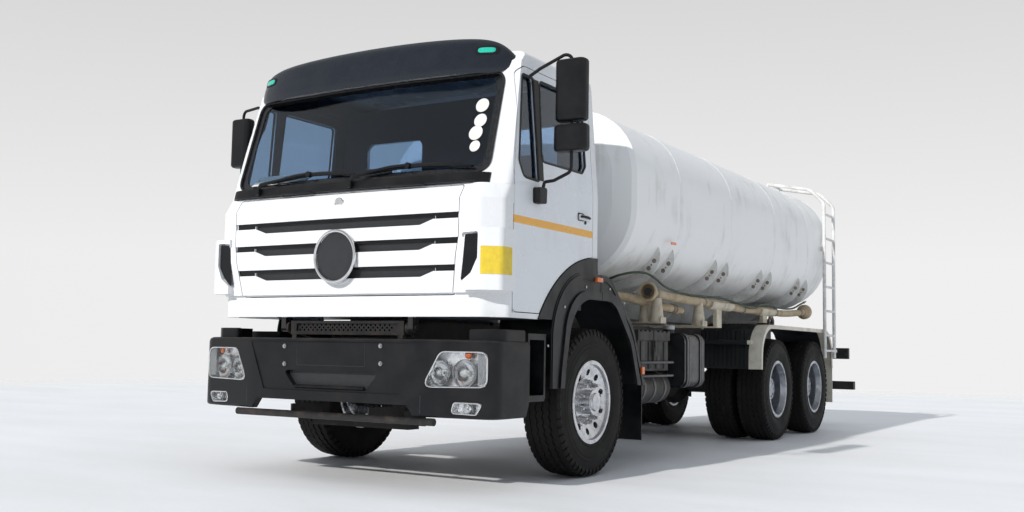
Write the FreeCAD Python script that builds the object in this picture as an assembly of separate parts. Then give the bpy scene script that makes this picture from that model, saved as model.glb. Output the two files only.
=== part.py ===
import FreeCAD, Part
import math
import os

# Three-axle water tanker truck with a tilting cab over the engine.
# Units are millimetres. While modelling, y = 0 is the front axle, the truck faces -Y, its left is +X
# and z = 0 is the ground. save() moves everything so that y = 0 is the middle of the truck's length.

V = FreeCAD.Vector

# ---- driving dimensions: overall -------------------------------------------------------------
WHEELBASE = 4300.0
BOGIE_SPACING = 1350.0
FRONT_OVERHANG = 1500.0
REAR_OVERHANG = 1850.0          # last axle to the back of the underrun bar
SLIDE_GAP = 0.3                 # between pieces that seat on each other
DOOR_GAP = 6.0                  # shut line round doors and flaps

# ---- wheels and axles --------------------------------------------------------------------------
TYRE_R = 530.0
TYRE_W = 300.0
RIM_R = 290.0
FRONT_TYRE_OUT = 1200.0
REAR_TYRE_OUT = 1195.0
TWIN_SPACING = 345.0
KINGPIN_X = 860.0
KINGPIN_R = 22.0
SPINDLE_R = 38.0
DRUM_R = 205.0
BORE_PLAY = 0.05                # radial running clearance of pins and spindles
BEAM_H = 110.0
STEER_ARM = 230.0

# ---- chassis -----------------------------------------------------------------------------------
FRAME_HALF = 430.0
RAIL_H = 270.0
RAIL_TOP = 1070.0
RAIL_FLANGE = 85.0
RAIL_T = 9.0
RAIL_FRONT = -1040.0
BUMPER_HALF = 1250.0
BUMPER_LOW = 465.0
BUMPER_TOP = 950.0
BUMPER_WALL = 45.0
BUMPER_BACK = -985.0

# ---- cab ---------------------------------------------------------------------------------------
CAB_HALF = 1220.0
CAB_FRONT = -1450.0
CAB_REAR = -10.0
CAB_FLOOR = 1095.0
CAB_WAIST = 1940.0              # top of the front panel, where the windscreen starts
CAB_EAVES = 2790.0
CAB_ROOF = 2930.0
CAB_WALL = 50.0
SCREEN_SLOPE = 0.30             # backward lean of the windscreen per unit of height
SCREEN_SET = 63.0               # foot of the windscreen behind the cab's foremost line
# cab's plan: x of the bend, how far behind the front line the bend and the side start, radius of the bow
LOW_CORNER = (1085, 30, 165, 14000)
SCREEN_CORNER = (1075, 75, 150, 7000)
FLARE_CORNER = (1130, 20, 110, 14000)
COWL_SET = 30.0
COWL_SLOPE = 0.25
TILT_Y = -1310.0                # axis the cab tilts about
TILT_Z = 1025.0
TILT_LUG_X = 530.0
TILT_PIN_R = 18.0
HOOD_HALF = 400.0               # engine cover inside the cab
HOOD_TOP = 1600.0
DOOR_FRONT = -1175.0
DOOR_REAR = -90.0
DOOR_LOW = 1135.0
DOOR_TOP = 2755.0
DOOR_T = CAB_WALL + 8.0
DOOR_HINGE_X = 1212.0
DOOR_HINGE_Y = -1178.0
DOOR_HINGE_ZS = [1340.0, 1880.0]
HINGE_HALF = 30.0
HINGE_R = 10.0
HINGE_PIN_R = 5.0
FLAP_HALF = 905.0               # half width of the front flap at its lower edge
FLAP_LOW = 1235.0
FLAP_TOP = 1925.0
FLAP_T = 35.0
SLOT_ZS = [1401.0, 1572.0, 1732.0]
SLOT_HALF = 780.0
GROOVE_DEPTH = 14.0
FIREWALL_Y = -1312.0
SCREEN_HALF = 1092.0
REAR_WINDOWS = [(-900, -330), (330, 900)]
MIRROR_X = 1475.0
MIRROR_Y = -894.0
VENT = [(1016, 1606), (1110, 1609), (1108, 1445), (1064, 1372), (998, 1310), (990, 1330), (1001, 1428)]
WHEELHOUSE_R = 895.0
ARCH_PANEL_R = 1030.0           # outside radius of the black panel round the arch
ARCH_PANEL_IN = 1158.0
ARCH_SPLIT_Y = 30.0
ARCH_LOW = 640.0                # lower ends of the arches
ARCH_FACE = 1232.0
ARCH_LIP = 1246.0

# ---- tank --------------------------------------------------------------------------------------
TANK_FRONT = 700.0
TANK_REAR = 6080.0
TANK_HALF = 1200.0
TANK_TOP = 2880.0
TANK_BOTTOM = 1455.0
TANK_CROWN = 75.0               # fall of the top from the middle to the sides
TANK_CORNER = 550.0
TANK_DISH = 105.0
MANHOLE_Y = 4700.0
NECK_RISE = 60.0
LID_R = 275.0
LID_T = 12.0
LID_HINGE_Y = MANHOLE_Y - 320
SUB_TOP = 1200.0
SADDLE_PAIRS = [1270.0, 2590.0, 3900.0, 5205.0]
SADDLE_GAP = 300.0
SADDLE_T = 10.0
SADDLE_TIP_Z = 1768.0
RACK_X = 1120.0
RACK_Z = 1145.0

CENTRE_Y = (WHEELBASE + BOGIE_SPACING + REAR_OVERHANG - FRONT_OVERHANG) / 2
AXLE_YS = [WHEELBASE, WHEELBASE + BOGIE_SPACING]
REAR_END = AXLE_YS[1] + REAR_OVERHANG

os.makedirs("parts", exist_ok=True)


# ---- shape helpers -----------------------------------------------------------------------------
def save(name, *shapes):
    solids = [s for shape in shapes for s in shape.Solids]
    moved = []
    for solid in solids:
        if not solid.isValid():
            print("invalid solid in", name)
        copy = solid.copy()
        copy.translate(V(0, -CENTRE_Y, 0))
        moved.append(copy)
    shape = moved[0] if len(moved) == 1 else Part.makeCompound(moved)
    shape.exportStep("parts/" + name + ".step")


def box(x0, x1, y0, y1, z0, z1):
    return Part.makeBox(x1 - x0, y1 - y0, z1 - z0, V(x0, y0, z0))


def rod(start, end, radius):
    axis = V(*end) - V(*start)
    return Part.makeCylinder(radius, axis.Length, V(*start), axis)


def mirror(shape):
    return shape.mirror(V(0, 0, 0), V(1, 0, 0))


def both_sides(shape):
    return [shape, mirror(shape)]


def rounded_path(points, radii, closed=True):
    """Wire through 3D points, each corner rounded by its radius (0 keeps it sharp)."""
    points = [V(*p) for p in points]
    count = len(points)
    radii = radii if isinstance(radii, (list, tuple)) else [radii] * count
    starts, ends, arcs = [], [], []
    for i, corner in enumerate(points):
        free_end = not closed and i in (0, count - 1)
        if free_end or radii[i] <= 0:
            starts.append(corner)
            ends.append(corner)
            arcs.append(None)
            continue
        back = (points[i - 1] - corner).normalize()
        ahead = (points[(i + 1) % count] - corner).normalize()
        half = back.getAngle(ahead) / 2
        reach = radii[i] / math.tan(half)
        middle = corner + (back + ahead).normalize() * (radii[i] / math.sin(half) - radii[i])
        starts.append(corner + back * reach)
        ends.append(corner + ahead * reach)
        arcs.append(middle)
    edges = []
    for i in range(count):
        if arcs[i] is not None:
            edges.append(Part.Arc(starts[i], arcs[i], ends[i]).toShape())
        if i == count - 1 and not closed:
            break
        following = starts[(i + 1) % count]
        if (following - ends[i]).Length > 1e-6:
            edges.append(Part.LineSegment(ends[i], following).toShape())
    return Part.Wire(edges)


def plate(points, radii, thickness):
    """Flat plate: a rounded outline extruded by a vector."""
    return Part.Face(rounded_path(points, radii)).extrude(V(*thickness))


def side_plate(yz, radii, x0, x1):
    return plate([(x0, y, z) for y, z in yz], radii, (x1 - x0, 0, 0))


def front_plate(xz, radii, y0, y1):
    return plate([(x, y0, z) for x, z in xz], radii, (0, y1 - y0, 0))


def top_plate(xy, radii, z0, z1, lean=0.0):
    return plate([(x, y, z0) for x, y in xy], radii, (0, lean, z1 - z0))


def tube(points, bend, radius, bore=0.0):
    path = rounded_path(points, bend, closed=False)
    start, direction = V(*points[0]), V(*points[1]) - V(*points[0])
    ring = Part.Wire(Part.makeCircle(radius, start, direction))
    solid = path.makePipeShell([ring], True, False)
    if bore:
        hole = Part.Wire(Part.makeCircle(bore, start, direction))
        solid = solid.cut(path.makePipeShell([hole], True, False))
    return solid


def mirrored_outline(right_half):
    """Closed outline from its right half, given from bottom to top; points on x = 0 aren't repeated."""
    left = [(-x, b) for x, b in reversed(right_half) if x > 0]
    return right_half + left


def mirrored_radii(right_half, radii):
    left = [r for (x, b), r in zip(reversed(right_half), reversed(radii)) if x > 0]
    return radii + left


def ring_solid(x0, profile, y, z):
    """Turned piece about an axle: profile is (distance outward from x0, radius), right-hand side."""
    points = [V(x0 + dx, y, z + r) for dx, r in profile]
    edges = [Part.LineSegment(a, b).toShape() for a, b in zip(points, points[1:] + points[:1])]
    return Part.Face(Part.Wire(edges)).revolve(V(0, y, z), V(1, 0, 0), 360)


# ---- wheels ------------------------------------------------------------------------------------
def tyre(x_in, y, width=TYRE_W):
    profile = [(14, RIM_R), (0, 380), (4, 455), (26, 515), (46, TYRE_R),
               (width - 46, TYRE_R), (width - 26, 515), (width - 4, 455), (width, 380), (width - 14, RIM_R)]
    return ring_solid(x_in, profile, y, TYRE_R)


def rim(x_in, y, disc_at, hub_from, hub_to, hub_r, bore, hand_holes, width=TYRE_W, disc_lean=60.0):
    """Barrel with flanges, dished disc with hand holes, and the hub that turns on the spindle."""
    seat = RIM_R - SLIDE_GAP
    barrel = [(12, seat), (12, seat - 20), (70, seat - 38), (width - 70, seat - 38), (width - 12, seat - 20),
              (width - 12, seat)]
    outer = ring_solid(x_in, barrel, y, TYRE_R)
    disc = [(disc_at - disc_lean, seat - 8), (disc_at, 175), (disc_at, hub_r - 5), (disc_at + 12, hub_r - 5),
            (disc_at + 12, 175), (disc_at - disc_lean + 14, seat - 8)]
    dish = ring_solid(x_in, disc, y, TYRE_R)
    for k in range(hand_holes):
        angle = 2 * math.pi * k / hand_holes
        cy, cz = y + 212 * math.sin(angle), TYRE_R + 212 * math.cos(angle)
        dish = dish.cut(rod((x_in, cy, cz), (x_in + width, cy, cz), 24))
    hub = ring_solid(x_in, [(hub_from, bore), (hub_from, hub_r), (hub_to, hub_r), (hub_to, bore)], y, TYRE_R)
    return outer.fuse([dish, hub]).removeSplitter()


def wheel_stations():
    """Place of each rear twin: node suffix, y of its axle."""
    return [("mid", AXLE_YS[0]), ("rear", AXLE_YS[1])]


def make_front_wheels():
    inner = FRONT_TYRE_OUT - TYRE_W
    rubber = tyre(inner, 0)
    spindle_bore = SPINDLE_R + BORE_PLAY
    # drum, barrel, disc and hub turn together on the spindle
    steel = rim(inner, 0, TYRE_W - 72, 120, TYRE_W + 8, 88, spindle_bore, 10, disc_lean=-30.0)
    drum = ring_solid(inner, [(25, DRUM_R - 12), (25, DRUM_R), (132, DRUM_R), (132, 80), (120, 80),
                              (120, DRUM_R - 12)],
                      0, TYRE_R)
    steel = steel.fuse(drum).removeSplitter()
    cap = rod((FRONT_TYRE_OUT + 8, 0, TYRE_R), (FRONT_TYRE_OUT + 22, 0, TYRE_R), 60)
    steel = steel.fuse(cap).removeSplitter()
    for side, place in (("left", lambda s: s), ("right", mirror)):
        save("tyre_front_" + side, place(rubber))
        save("rim_front_" + side, place(steel))


def make_rear_wheels():
    outer_in = REAR_TYRE_OUT - TYRE_W
    inner_in = outer_in - TWIN_SPACING
    for station, y in wheel_stations():
        rubber = [tyre(inner_in, y), tyre(outer_in, y)]
        # the twin discs are bolted back to back between the two tyres
        meet = (inner_in + TYRE_W + outer_in) / 2
        outer_rim = rim(outer_in, y, meet - outer_in + 14, 60, 210, 110, SPINDLE_R + BORE_PLAY, 8,
                        disc_lean=-60.0)
        inner_rim = rim(inner_in, y, meet - inner_in - 26, 200, meet - inner_in + 14, 110,
                        SPINDLE_R + BORE_PLAY, 8, disc_lean=45.0)
        drum = ring_solid(inner_in, [(60, DRUM_R - 12), (60, DRUM_R), (210, DRUM_R), (210, 100), (198, 100),
                                     (198, DRUM_R - 12)], y, TYRE_R)
        low, high = meet - inner_in - 40, meet - inner_in + 70
        bore_r = SPINDLE_R + BORE_PLAY
        bridge = ring_solid(inner_in, [(low, bore_r), (low, 105), (high, 105), (high, bore_r)],
                            y, TYRE_R)
        steel = outer_rim.fuse([inner_rim, drum, bridge]).removeSplitter()
        for side, place in (("left", lambda s: s), ("right", mirror)):
            save("tyres_%s_%s" % (station, side), *[place(r) for r in rubber])
            save("rims_%s_%s" % (station, side), place(steel))


# ---- axles, steering and springs ---------------------------------------------------------------
def make_front_axle():
    half = BEAM_H / 2
    drop = 90.0
    path = [(-KINGPIN_X, TYRE_R), (-660, TYRE_R), (-520, TYRE_R - drop), (520, TYRE_R - drop), (660, TYRE_R),
            (KINGPIN_X, TYRE_R)]
    upper = [(x, z + half * (0.75 if abs(x) > 600 else 1.0)) for x, z in path]
    lower = [(x, z - half * (0.75 if abs(x) > 600 else 1.0)) for x, z in reversed(path)]
    beam = front_plate(upper + lower, 0, -42, 42)
    for side in (-1, 1):
        groove = box(-500, 500, side * 14 if side > 0 else -43, 43 if side > 0 else -14,
                     TYRE_R - drop - half + 18, TYRE_R - drop + half - 18)
        beam = beam.cut(groove)
        boss = rod((side * KINGPIN_X, 0, TYRE_R - half), (side * KINGPIN_X, 0, TYRE_R + half), 48)
        pin = rod((side * KINGPIN_X, 0, TYRE_R - half - 62), (side * KINGPIN_X, 0, TYRE_R + half + 62),
                  KINGPIN_R)
        beam = beam.fuse([boss, pin])
    save("front_axle", beam.removeSplitter())


def knuckle():
    half = BEAM_H / 2
    solid = None
    for z0, z1 in ((TYRE_R - half - 55, TYRE_R - half - 5), (TYRE_R + half + 5, TYRE_R + half + 55)):
        ear = rod((KINGPIN_X, 0, z0), (KINGPIN_X, 0, z1), 46)
        ear = ear.fuse(box(KINGPIN_X, KINGPIN_X + 75, -46, 46, z0, z1))
        solid = ear if solid is None else solid.fuse(ear)
    back = rod((KINGPIN_X + 56, 0, TYRE_R), (KINGPIN_X + 78, 0, TYRE_R), half + 58)
    spindle = rod((KINGPIN_X + 56, 0, TYRE_R), (FRONT_TYRE_OUT, 0, TYRE_R), SPINDLE_R)
    arm_z = TYRE_R - half - 55
    arm = side_plate([(-20, arm_z), (-20, arm_z + 40), (STEER_ARM + 30, arm_z + 40), (STEER_ARM + 30, arm_z)],
                     0, KINGPIN_X - 26, KINGPIN_X + 26)
    ball = rod((KINGPIN_X, STEER_ARM, arm_z - 50), (KINGPIN_X, STEER_ARM, arm_z + 5), 12)
    solid = solid.fuse([back, spindle, arm, ball])
    bore = rod((KINGPIN_X, 0, arm_z - 5), (KINGPIN_X, 0, TYRE_R + half + 60), KINGPIN_R + BORE_PLAY)
    return solid.cut(bore).removeSplitter()


def make_steering():
    left = knuckle()
    save("knuckle_left", left)
    save("knuckle_right", mirror(left))
    half = BEAM_H / 2
    z = TYRE_R - half - 55 - 26
    rod_end = 30.0
    bar = rod((-KINGPIN_X, STEER_ARM, z), (KINGPIN_X, STEER_ARM, z), 17)
    for side in (-1, 1):
        eye = rod((side * KINGPIN_X, STEER_ARM, z - 22), (side * KINGPIN_X, STEER_ARM, z + 22), rod_end)
        bar = bar.fuse(eye)
    for side in (-1, 1):
        bar = bar.cut(rod((side * KINGPIN_X, STEER_ARM, z - 40), (side * KINGPIN_X, STEER_ARM, z + 40), 12.3))
    save("tie_rod", bar.removeSplitter())


def leaf_pack(y_mid, length, z_mid, sag, width, thick, x):
    """Stack of leaves: an arched bar, thick in the middle where the leaves overlap."""
    half = length / 2
    top = [(y_mid - half, z_mid + sag), (y_mid, z_mid + thick * 0.4), (y_mid + half, z_mid + sag)]
    upper = Part.Arc(*[V(x - width / 2, *point) for point in top]).toShape()
    low = [(y_mid + half, z_mid + sag - 22), (y_mid, z_mid - thick * 0.6), (y_mid - half, z_mid + sag - 22)]
    lower = Part.Arc(*[V(x - width / 2, *point) for point in low]).toShape()
    ends = [Part.LineSegment(V(x - width / 2, *top[2]), V(x - width / 2, *low[0])).toShape(),
            Part.LineSegment(V(x - width / 2, *low[2]), V(x - width / 2, *top[0])).toShape()]
    return Part.Face(Part.Wire([upper, ends[0], lower, ends[1]])).extrude(V(width, 0, 0))


def make_springs():
    x = FRAME_HALF - RAIL_FLANGE / 2
    rail_low = RAIL_TOP - RAIL_H
    beam_top = TYRE_R - 90 + BEAM_H / 2
    front = leaf_pack(0, 1500, beam_top + 45 + SLIDE_GAP, 175, 80, 75, x)
    solids = [front]
    for y in (-735, 735):
        hanger = side_plate([(y - 45, beam_top + 130), (y - 45, rail_low - SLIDE_GAP),
                             (y + 45, rail_low - SLIDE_GAP),
                             (y + 45, beam_top + 130)], 12, x - 55, x - 42)
        solids[0] = solids[0].fuse([hanger, hanger.translated(V(97, 0, 0)),
                                    rod((x - 55, y, beam_top + 205), (x + 55, y, beam_top + 205), 16)])
    middle = (AXLE_YS[0] + AXLE_YS[1]) / 2
    pack_z = rail_low - 62
    rear = leaf_pack(middle, BOGIE_SPACING + 60, pack_z, -70, 90, 110, x)
    trunnion = side_plate([(middle - 150, rail_low - SLIDE_GAP), (middle - 90, 600), (middle + 90, 600),
                           (middle + 150, rail_low - SLIDE_GAP)], 0, x + 46, x + 70)
    rear = rear.fuse([trunnion, trunnion.translated(V(-116, 0, 0)),
                      rod((x - 70, middle, 640), (x + 70, middle, 640), 45),
                      box(x - 45, x + 45, middle - 90, middle + 90, 660, pack_z - 40)])
    save("leaf_springs", *both_sides(solids[0].removeSplitter()), *both_sides(rear.removeSplitter()))


def make_rear_axles():
    solids = []
    for y in AXLE_YS:
        housing = rod((-640, y, TYRE_R), (640, y, TYRE_R), 62)
        banjo = Part.makeSphere(190, V(0, y, TYRE_R))
        banjo = banjo.common(box(-230, 230, y - 150, y + 190, TYRE_R - 190, TYRE_R + 190))
        housing = housing.fuse(banjo)
        stub_end = REAR_TYRE_OUT - TYRE_W + 205
        for side in (-1, 1):
            stub = rod((side * 600, y, TYRE_R), (side * stub_end, y, TYRE_R), SPINDLE_R)
            flange = rod((side * 590, y, TYRE_R), (side * 606, y, TYRE_R), 150)
            seat = box(min(side * 335, side * 440), max(side * 335, side * 440), y - 60, y + 60,
                       TYRE_R + 40, RAIL_TOP - RAIL_H - 62 - 70 - 22 - SLIDE_GAP)
            housing = housing.fuse([stub, flange, seat])
        solids.append(housing.removeSplitter())
    save("rear_axles", *solids)


# ---- chassis -----------------------------------------------------------------------------------
def make_chassis():
    rail_end = REAR_END - 350
    low = RAIL_TOP - RAIL_H
    outline = [(FRAME_HALF, low), (FRAME_HALF, RAIL_TOP), (FRAME_HALF - RAIL_FLANGE, RAIL_TOP),
               (FRAME_HALF - RAIL_FLANGE, RAIL_TOP - RAIL_T), (FRAME_HALF - RAIL_T, RAIL_TOP - RAIL_T),
               (FRAME_HALF - RAIL_T, low + RAIL_T), (FRAME_HALF - RAIL_FLANGE, low + RAIL_T),
               (FRAME_HALF - RAIL_FLANGE, low)]
    rail = front_plate(outline, 0, RAIL_FRONT, rail_end)
    web = FRAME_HALF - RAIL_T
    frame = rail.fuse(mirror(rail))
    members = [box(-web, web, y - 40, y + 40, low + 60, RAIL_TOP - 60)
               for y in (RAIL_FRONT + 60, 1450, 2400, 3300, (AXLE_YS[0] + AXLE_YS[1]) / 2)]
    members.append(box(-web, web, rail_end - 60, rail_end, low + 5, RAIL_TOP - 60))
    frame = frame.fuse(members)
    for place in (lambda s: s, mirror):
        # post under the cab's rear end, bracket and pin of the tilt hinge
        post = box(HOOD_HALF - 38, HOOD_HALF - 2, -100, -40, RAIL_TOP - 5, CAB_FLOOR - SLIDE_GAP)
        arm = side_plate([(-900, 905), (-900, 1060), (TILT_Y + 60, 1060), (TILT_Y + 60, 965)], 0,
                         web, FRAME_HALF + 7)
        out = box(web, TILT_LUG_X - 10, TILT_Y + 60, TILT_Y + 100, 965, 1060)
        horn = side_plate([(TILT_Y + 100, 965), (TILT_Y + 100, 1060), (TILT_Y - 34, TILT_Z + 34),
                           (TILT_Y - 34, TILT_Z - 34)], [0, 0, 30, 30], TILT_LUG_X - 24, TILT_LUG_X - 10)
        collar = rod((TILT_LUG_X - 24, TILT_Y, TILT_Z), (TILT_LUG_X - SLIDE_GAP, TILT_Y, TILT_Z), 34)
        pin = rod((TILT_LUG_X - 24, TILT_Y, TILT_Z), (TILT_LUG_X + 50, TILT_Y, TILT_Z), TILT_PIN_R)
        frame = frame.fuse([place(piece) for piece in (post, arm, out, horn, collar, pin)])
    save("chassis_frame", frame.removeSplitter())


def bumper_outline(inset, back):
    """Plan of the bumper: nearly straight face, swept corners and side wings."""
    half = BUMPER_HALF - inset
    return [(0, -FRONT_OVERHANG + inset), (700, -FRONT_OVERHANG + 14 + inset), (half, -1405 + inset),
            (half, back)]


def bumper_block(inset, back, z0, z1):
    right = bumper_outline(inset, back)
    radii = [0, 900, 75 - 0.6 * inset, 0]
    return top_plate(mirrored_outline(right), mirrored_radii(right, radii), z0, z1)


LAMP = [(750, 648), (1196, 656), (1196, 880), (868, 880)]
LAMP_ROUND = [40, 55, 55, 60]
FOG = [(952, 492), (1128, 487), (1172, 566), (966, 568)]
FOG_ROUND = [22, 22, 22, 22]


def grown(outline, by):
    cx = sum(x for x, z in outline) / len(outline)
    cz = sum(z for x, z in outline) / len(outline)
    return [(x + math.copysign(by, x - cx), z + math.copysign(by, z - cz)) for x, z in outline]


def make_bumper():
    shell = bumper_block(0, BUMPER_BACK, BUMPER_LOW, BUMPER_TOP)
    inside = bumper_block(BUMPER_WALL, BUMPER_BACK + 10, BUMPER_LOW - 10, BUMPER_TOP - 40)
    shell = shell.cut(inside)
    # the top is a ledge only 130 deep, open behind it for the cab's tilt and the frame
    shell = shell.cut(box(-1150, 1150, -1330, BUMPER_BACK + 1, BUMPER_TOP - 60, BUMPER_TOP + 1))
    # lower edge rises in the middle, wings slope at the back
    shell = shell.cut(front_plate([(-720, 400), (-600, 540), (600, 540), (720, 400)], 0, -1600, -900))
    for side in (-1, 1):
        wing = side_plate([(BUMPER_BACK + 5, BUMPER_TOP + 1), (-1060, BUMPER_LOW - 1), (-900, BUMPER_LOW - 1),
                           (-900, BUMPER_TOP + 1)], 0, side * 1100, side * 1300)
        shell = shell.cut(wing)
    # air slot and the recessed panel round it
    slot = front_plate([(-300, 645), (-345, 735), (345, 735), (300, 645)], 22, -1600, -1400)
    shell = shell.cut(slot)
    panel = front_plate([(-600, 620), (-735, 925), (735, 925), (600, 620)], 30, -1600, -FRONT_OVERHANG + 12)
    shell = shell.cut(panel)
    for outline, radii in ((LAMP, LAMP_ROUND), (FOG, FOG_ROUND)):
        hole = front_plate(grown(outline, SLIDE_GAP), radii, -1600, -1250)
        shell = shell.cut([hole, mirror(hole)])
    # raised ledge over each wing
    ledge = top_plate([(1000, -1335), (1150, -1335), (1235, -1270), (1235, -1010), (1160, -1010),
                       (1160, -1290), (1000, -1290)], 0, BUMPER_TOP - 12, BUMPER_TOP + 68)
    shell = shell.fuse(both_sides(ledge)).removeSplitter()
    # brackets back to the frame rails
    low = RAIL_TOP - RAIL_H
    for side in (-1, 1):
        arm = box(min(side * 300, side * 428), max(side * 300, side * 428), -FRONT_OVERHANG + BUMPER_WALL,
                  RAIL_FRONT - SLIDE_GAP, low + 20, RAIL_TOP - 150)
        shell = shell.fuse(arm)
    save("front_bumper", shell.removeSplitter())

    lamps = []
    for outline, radii, depth in ((LAMP, LAMP_ROUND, 70), (FOG, FOG_ROUND, 60)):
        face = bumper_block(0, BUMPER_BACK, BUMPER_LOW, BUMPER_TOP)
        behind = bumper_block(0, BUMPER_BACK, BUMPER_LOW - 10, BUMPER_TOP + 10).translated(V(0, depth, 0))
        lamp = front_plate(outline, radii, -1600, -1250).common(face).cut(behind)
        lamps += both_sides(lamp)
    save("front_lamps", *lamps)


def make_front_steelwork():
    # perforated step between bumper and cab, with the covers of the tilt pivots beside it
    step = box(-490, 490, TILT_Y - 22, TILT_Y + 18, TILT_Z - 50, TILT_Z + 44)
    step = step.cut(box(-440, 440, TILT_Y - 23, TILT_Y - 6, TILT_Z - 28, TILT_Z + 26))
    holes = []
    for row in range(3):
        for k in range(21):
            x = -420 + k * 39 + (row % 2) * 19.5
            z = TILT_Z - 18 + row * 17
            corners = [(x + 8 * math.cos(a * math.pi / 3), z + 8 * math.sin(a * math.pi / 3))
                       for a in range(6)]
            holes.append(front_plate(corners, 0, TILT_Y - 30, TILT_Y + 30))
    step = step.cut(holes)
    feet = [box(side * 460 - 20, side * 460 + 20, TILT_Y - 20, TILT_Y + 18, BUMPER_TOP - 60, TILT_Z - 40)
            for side in (-1, 1)]
    step = step.fuse(feet).removeSplitter()
    # tube and skid plate low under the bumper, on two hangers from the frame
    z = 437
    bar = rod((-840, -1462, z), (840, -1462, z), 24)
    for side in (-1, 1):
        bar = bar.fuse(box(side * 330 - 6, side * 330 + 6, -1475, -1090, z, z + 70))
        bar = bar.fuse(box(side * 330 - 6, side * 330 + 6, -1150, -1090, 400, RAIL_TOP - RAIL_H + 19))
        bar = bar.fuse(box(min(side * 324, side * 400), max(side * 324, side * 400), -1150, -1042, 780,
                           RAIL_TOP - RAIL_H + 19.5))
    skid = side_plate([(-1160, 352), (-1150, 400), (-1050, 400), (-1040, 352)], 0, -420, 420)
    save("front_steelwork", step, bar.fuse(skid).removeSplitter())


# ---- cab ---------------------------------------------------------------------------------------
def cab_prism(inset, setback, z0, z1, slope, corner):
    """Slice of the cab between two heights: bowed front, swept corners, flat sides, leaning back."""
    half = CAB_HALF - inset
    front = CAB_FRONT + inset + setback
    bend, bend_back, side_back, bow = corner
    right = [(0, front), (bend, front + bend_back), (half, front + side_back), (half, CAB_REAR - inset + 700)]
    return top_plate(mirrored_outline(right), mirrored_radii(right, [bow, 120, 55, 0]), z0, z1,
                     lean=slope * (z1 - z0))


def cab_body(inset):
    # bottom valance, panel that leans out, panel that stands upright, panel that rolls back:
    # heights and setbacks of each one's lower and upper edges
    body = None
    for z0, z1, low, high in ((CAB_FLOOR + inset, 1246, 60, 60), (1245, 1480, 35, 0), (1480, 1840, 0, 0),
                              (1840, CAB_WAIST, 0, SCREEN_SET)):
        piece = cab_prism(inset, low, z0, z1, (high - low) / (z1 - z0), LOW_CORNER)
        body = piece if body is None else body.fuse(piece)
    lean = SCREEN_SET + SCREEN_SLOPE * (CAB_EAVES - CAB_WAIST)
    body = body.fuse([cab_prism(inset, SCREEN_SET, CAB_WAIST, CAB_EAVES, SCREEN_SLOPE, SCREEN_CORNER),
                      cab_prism(inset, lean, CAB_EAVES, CAB_ROOF + 200, 1.1, SCREEN_CORNER)])
    # tumblehome of the sides and the crowned roof
    half, top = CAB_HALF - inset, CAB_ROOF - inset
    section = [(half, CAB_FLOOR), (half, 2000), (half - 62, CAB_EAVES), (half - 75, top - 55), (0, top)]
    # a thick wall leaves less height above the eaves for the roof's rounding
    radii = [0, 300, 0, min(50.0, 1.86 * (top - 55 - CAB_EAVES)), 2500]
    cage = front_plate(mirrored_outline(section), mirrored_radii(section, radii), -1700, CAB_REAR - inset)
    return body.common(cage)


def door_region(gap):
    """Outline of the left door in the side view; the shut line is cut wider by its gap."""
    front, rear = DOOR_FRONT - gap, DOOR_REAR + gap
    lean = 0.18
    return [(front, DOOR_LOW - gap), (front, 2010), (front + lean * (DOOR_TOP - 2010), DOOR_TOP + gap),
            (rear, DOOR_TOP + gap), (rear, DOOR_LOW - gap)]


def arch_disc(radius, x0, x1):
    return rod((x0, 0, TYRE_R), (x1, 0, TYRE_R), radius)


def window_cuts(x0, x1, grow=0.0):
    vent = side_plate([(-1112 - grow, 2105), (-1062, 2008 - grow), (-862 + grow, 2004 - grow),
                       (-868 + grow, 2700 + grow), (-1016 - grow, 2700 + grow)], [30, 60, 22, 30, 30], x0, x1)
    main = side_plate([(-790 - grow, 2700 + grow), (-812 - grow, 2145 - grow), (-235, 2150 - grow),
                       (-182 + grow, 2205), (-182 + grow, 2700 + grow)], [40, 40, 40, 40, 40], x0, x1)
    return [vent, main]


def screen_y(x, z):
    """Outer face of the windscreen."""
    bend, bend_back, side_back, bow = SCREEN_CORNER
    turn = math.atan2(bend_back, bend)
    back = bend_back * abs(x) / bend
    if abs(x) < bow * math.sin(turn):
        back = bow / math.cos(turn) - math.sqrt(bow * bow - x * x)
    return CAB_FRONT + SCREEN_SET + SCREEN_SLOPE * (z - CAB_WAIST) + back


def screen_opening(depth_front, depth_back, shrink=0.0):
    """Prism through the front wall with the windscreen's rounded outline, leaning with the wall."""
    z0, z1 = 2020 + shrink, 2712 - shrink
    half = SCREEN_HALF - shrink
    base = CAB_FRONT + SCREEN_SET + SCREEN_SLOPE * (z0 - CAB_WAIST)
    lean = SCREEN_SLOPE * (z1 - z0)
    points = [(-half, base - depth_front, z0), (half, base - depth_front, z0),
              (half - 12, base - depth_front + lean, z1), (-half + 12, base - depth_front + lean, z1)]
    return plate(points, 90, (0, depth_front + depth_back, 0))


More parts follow.
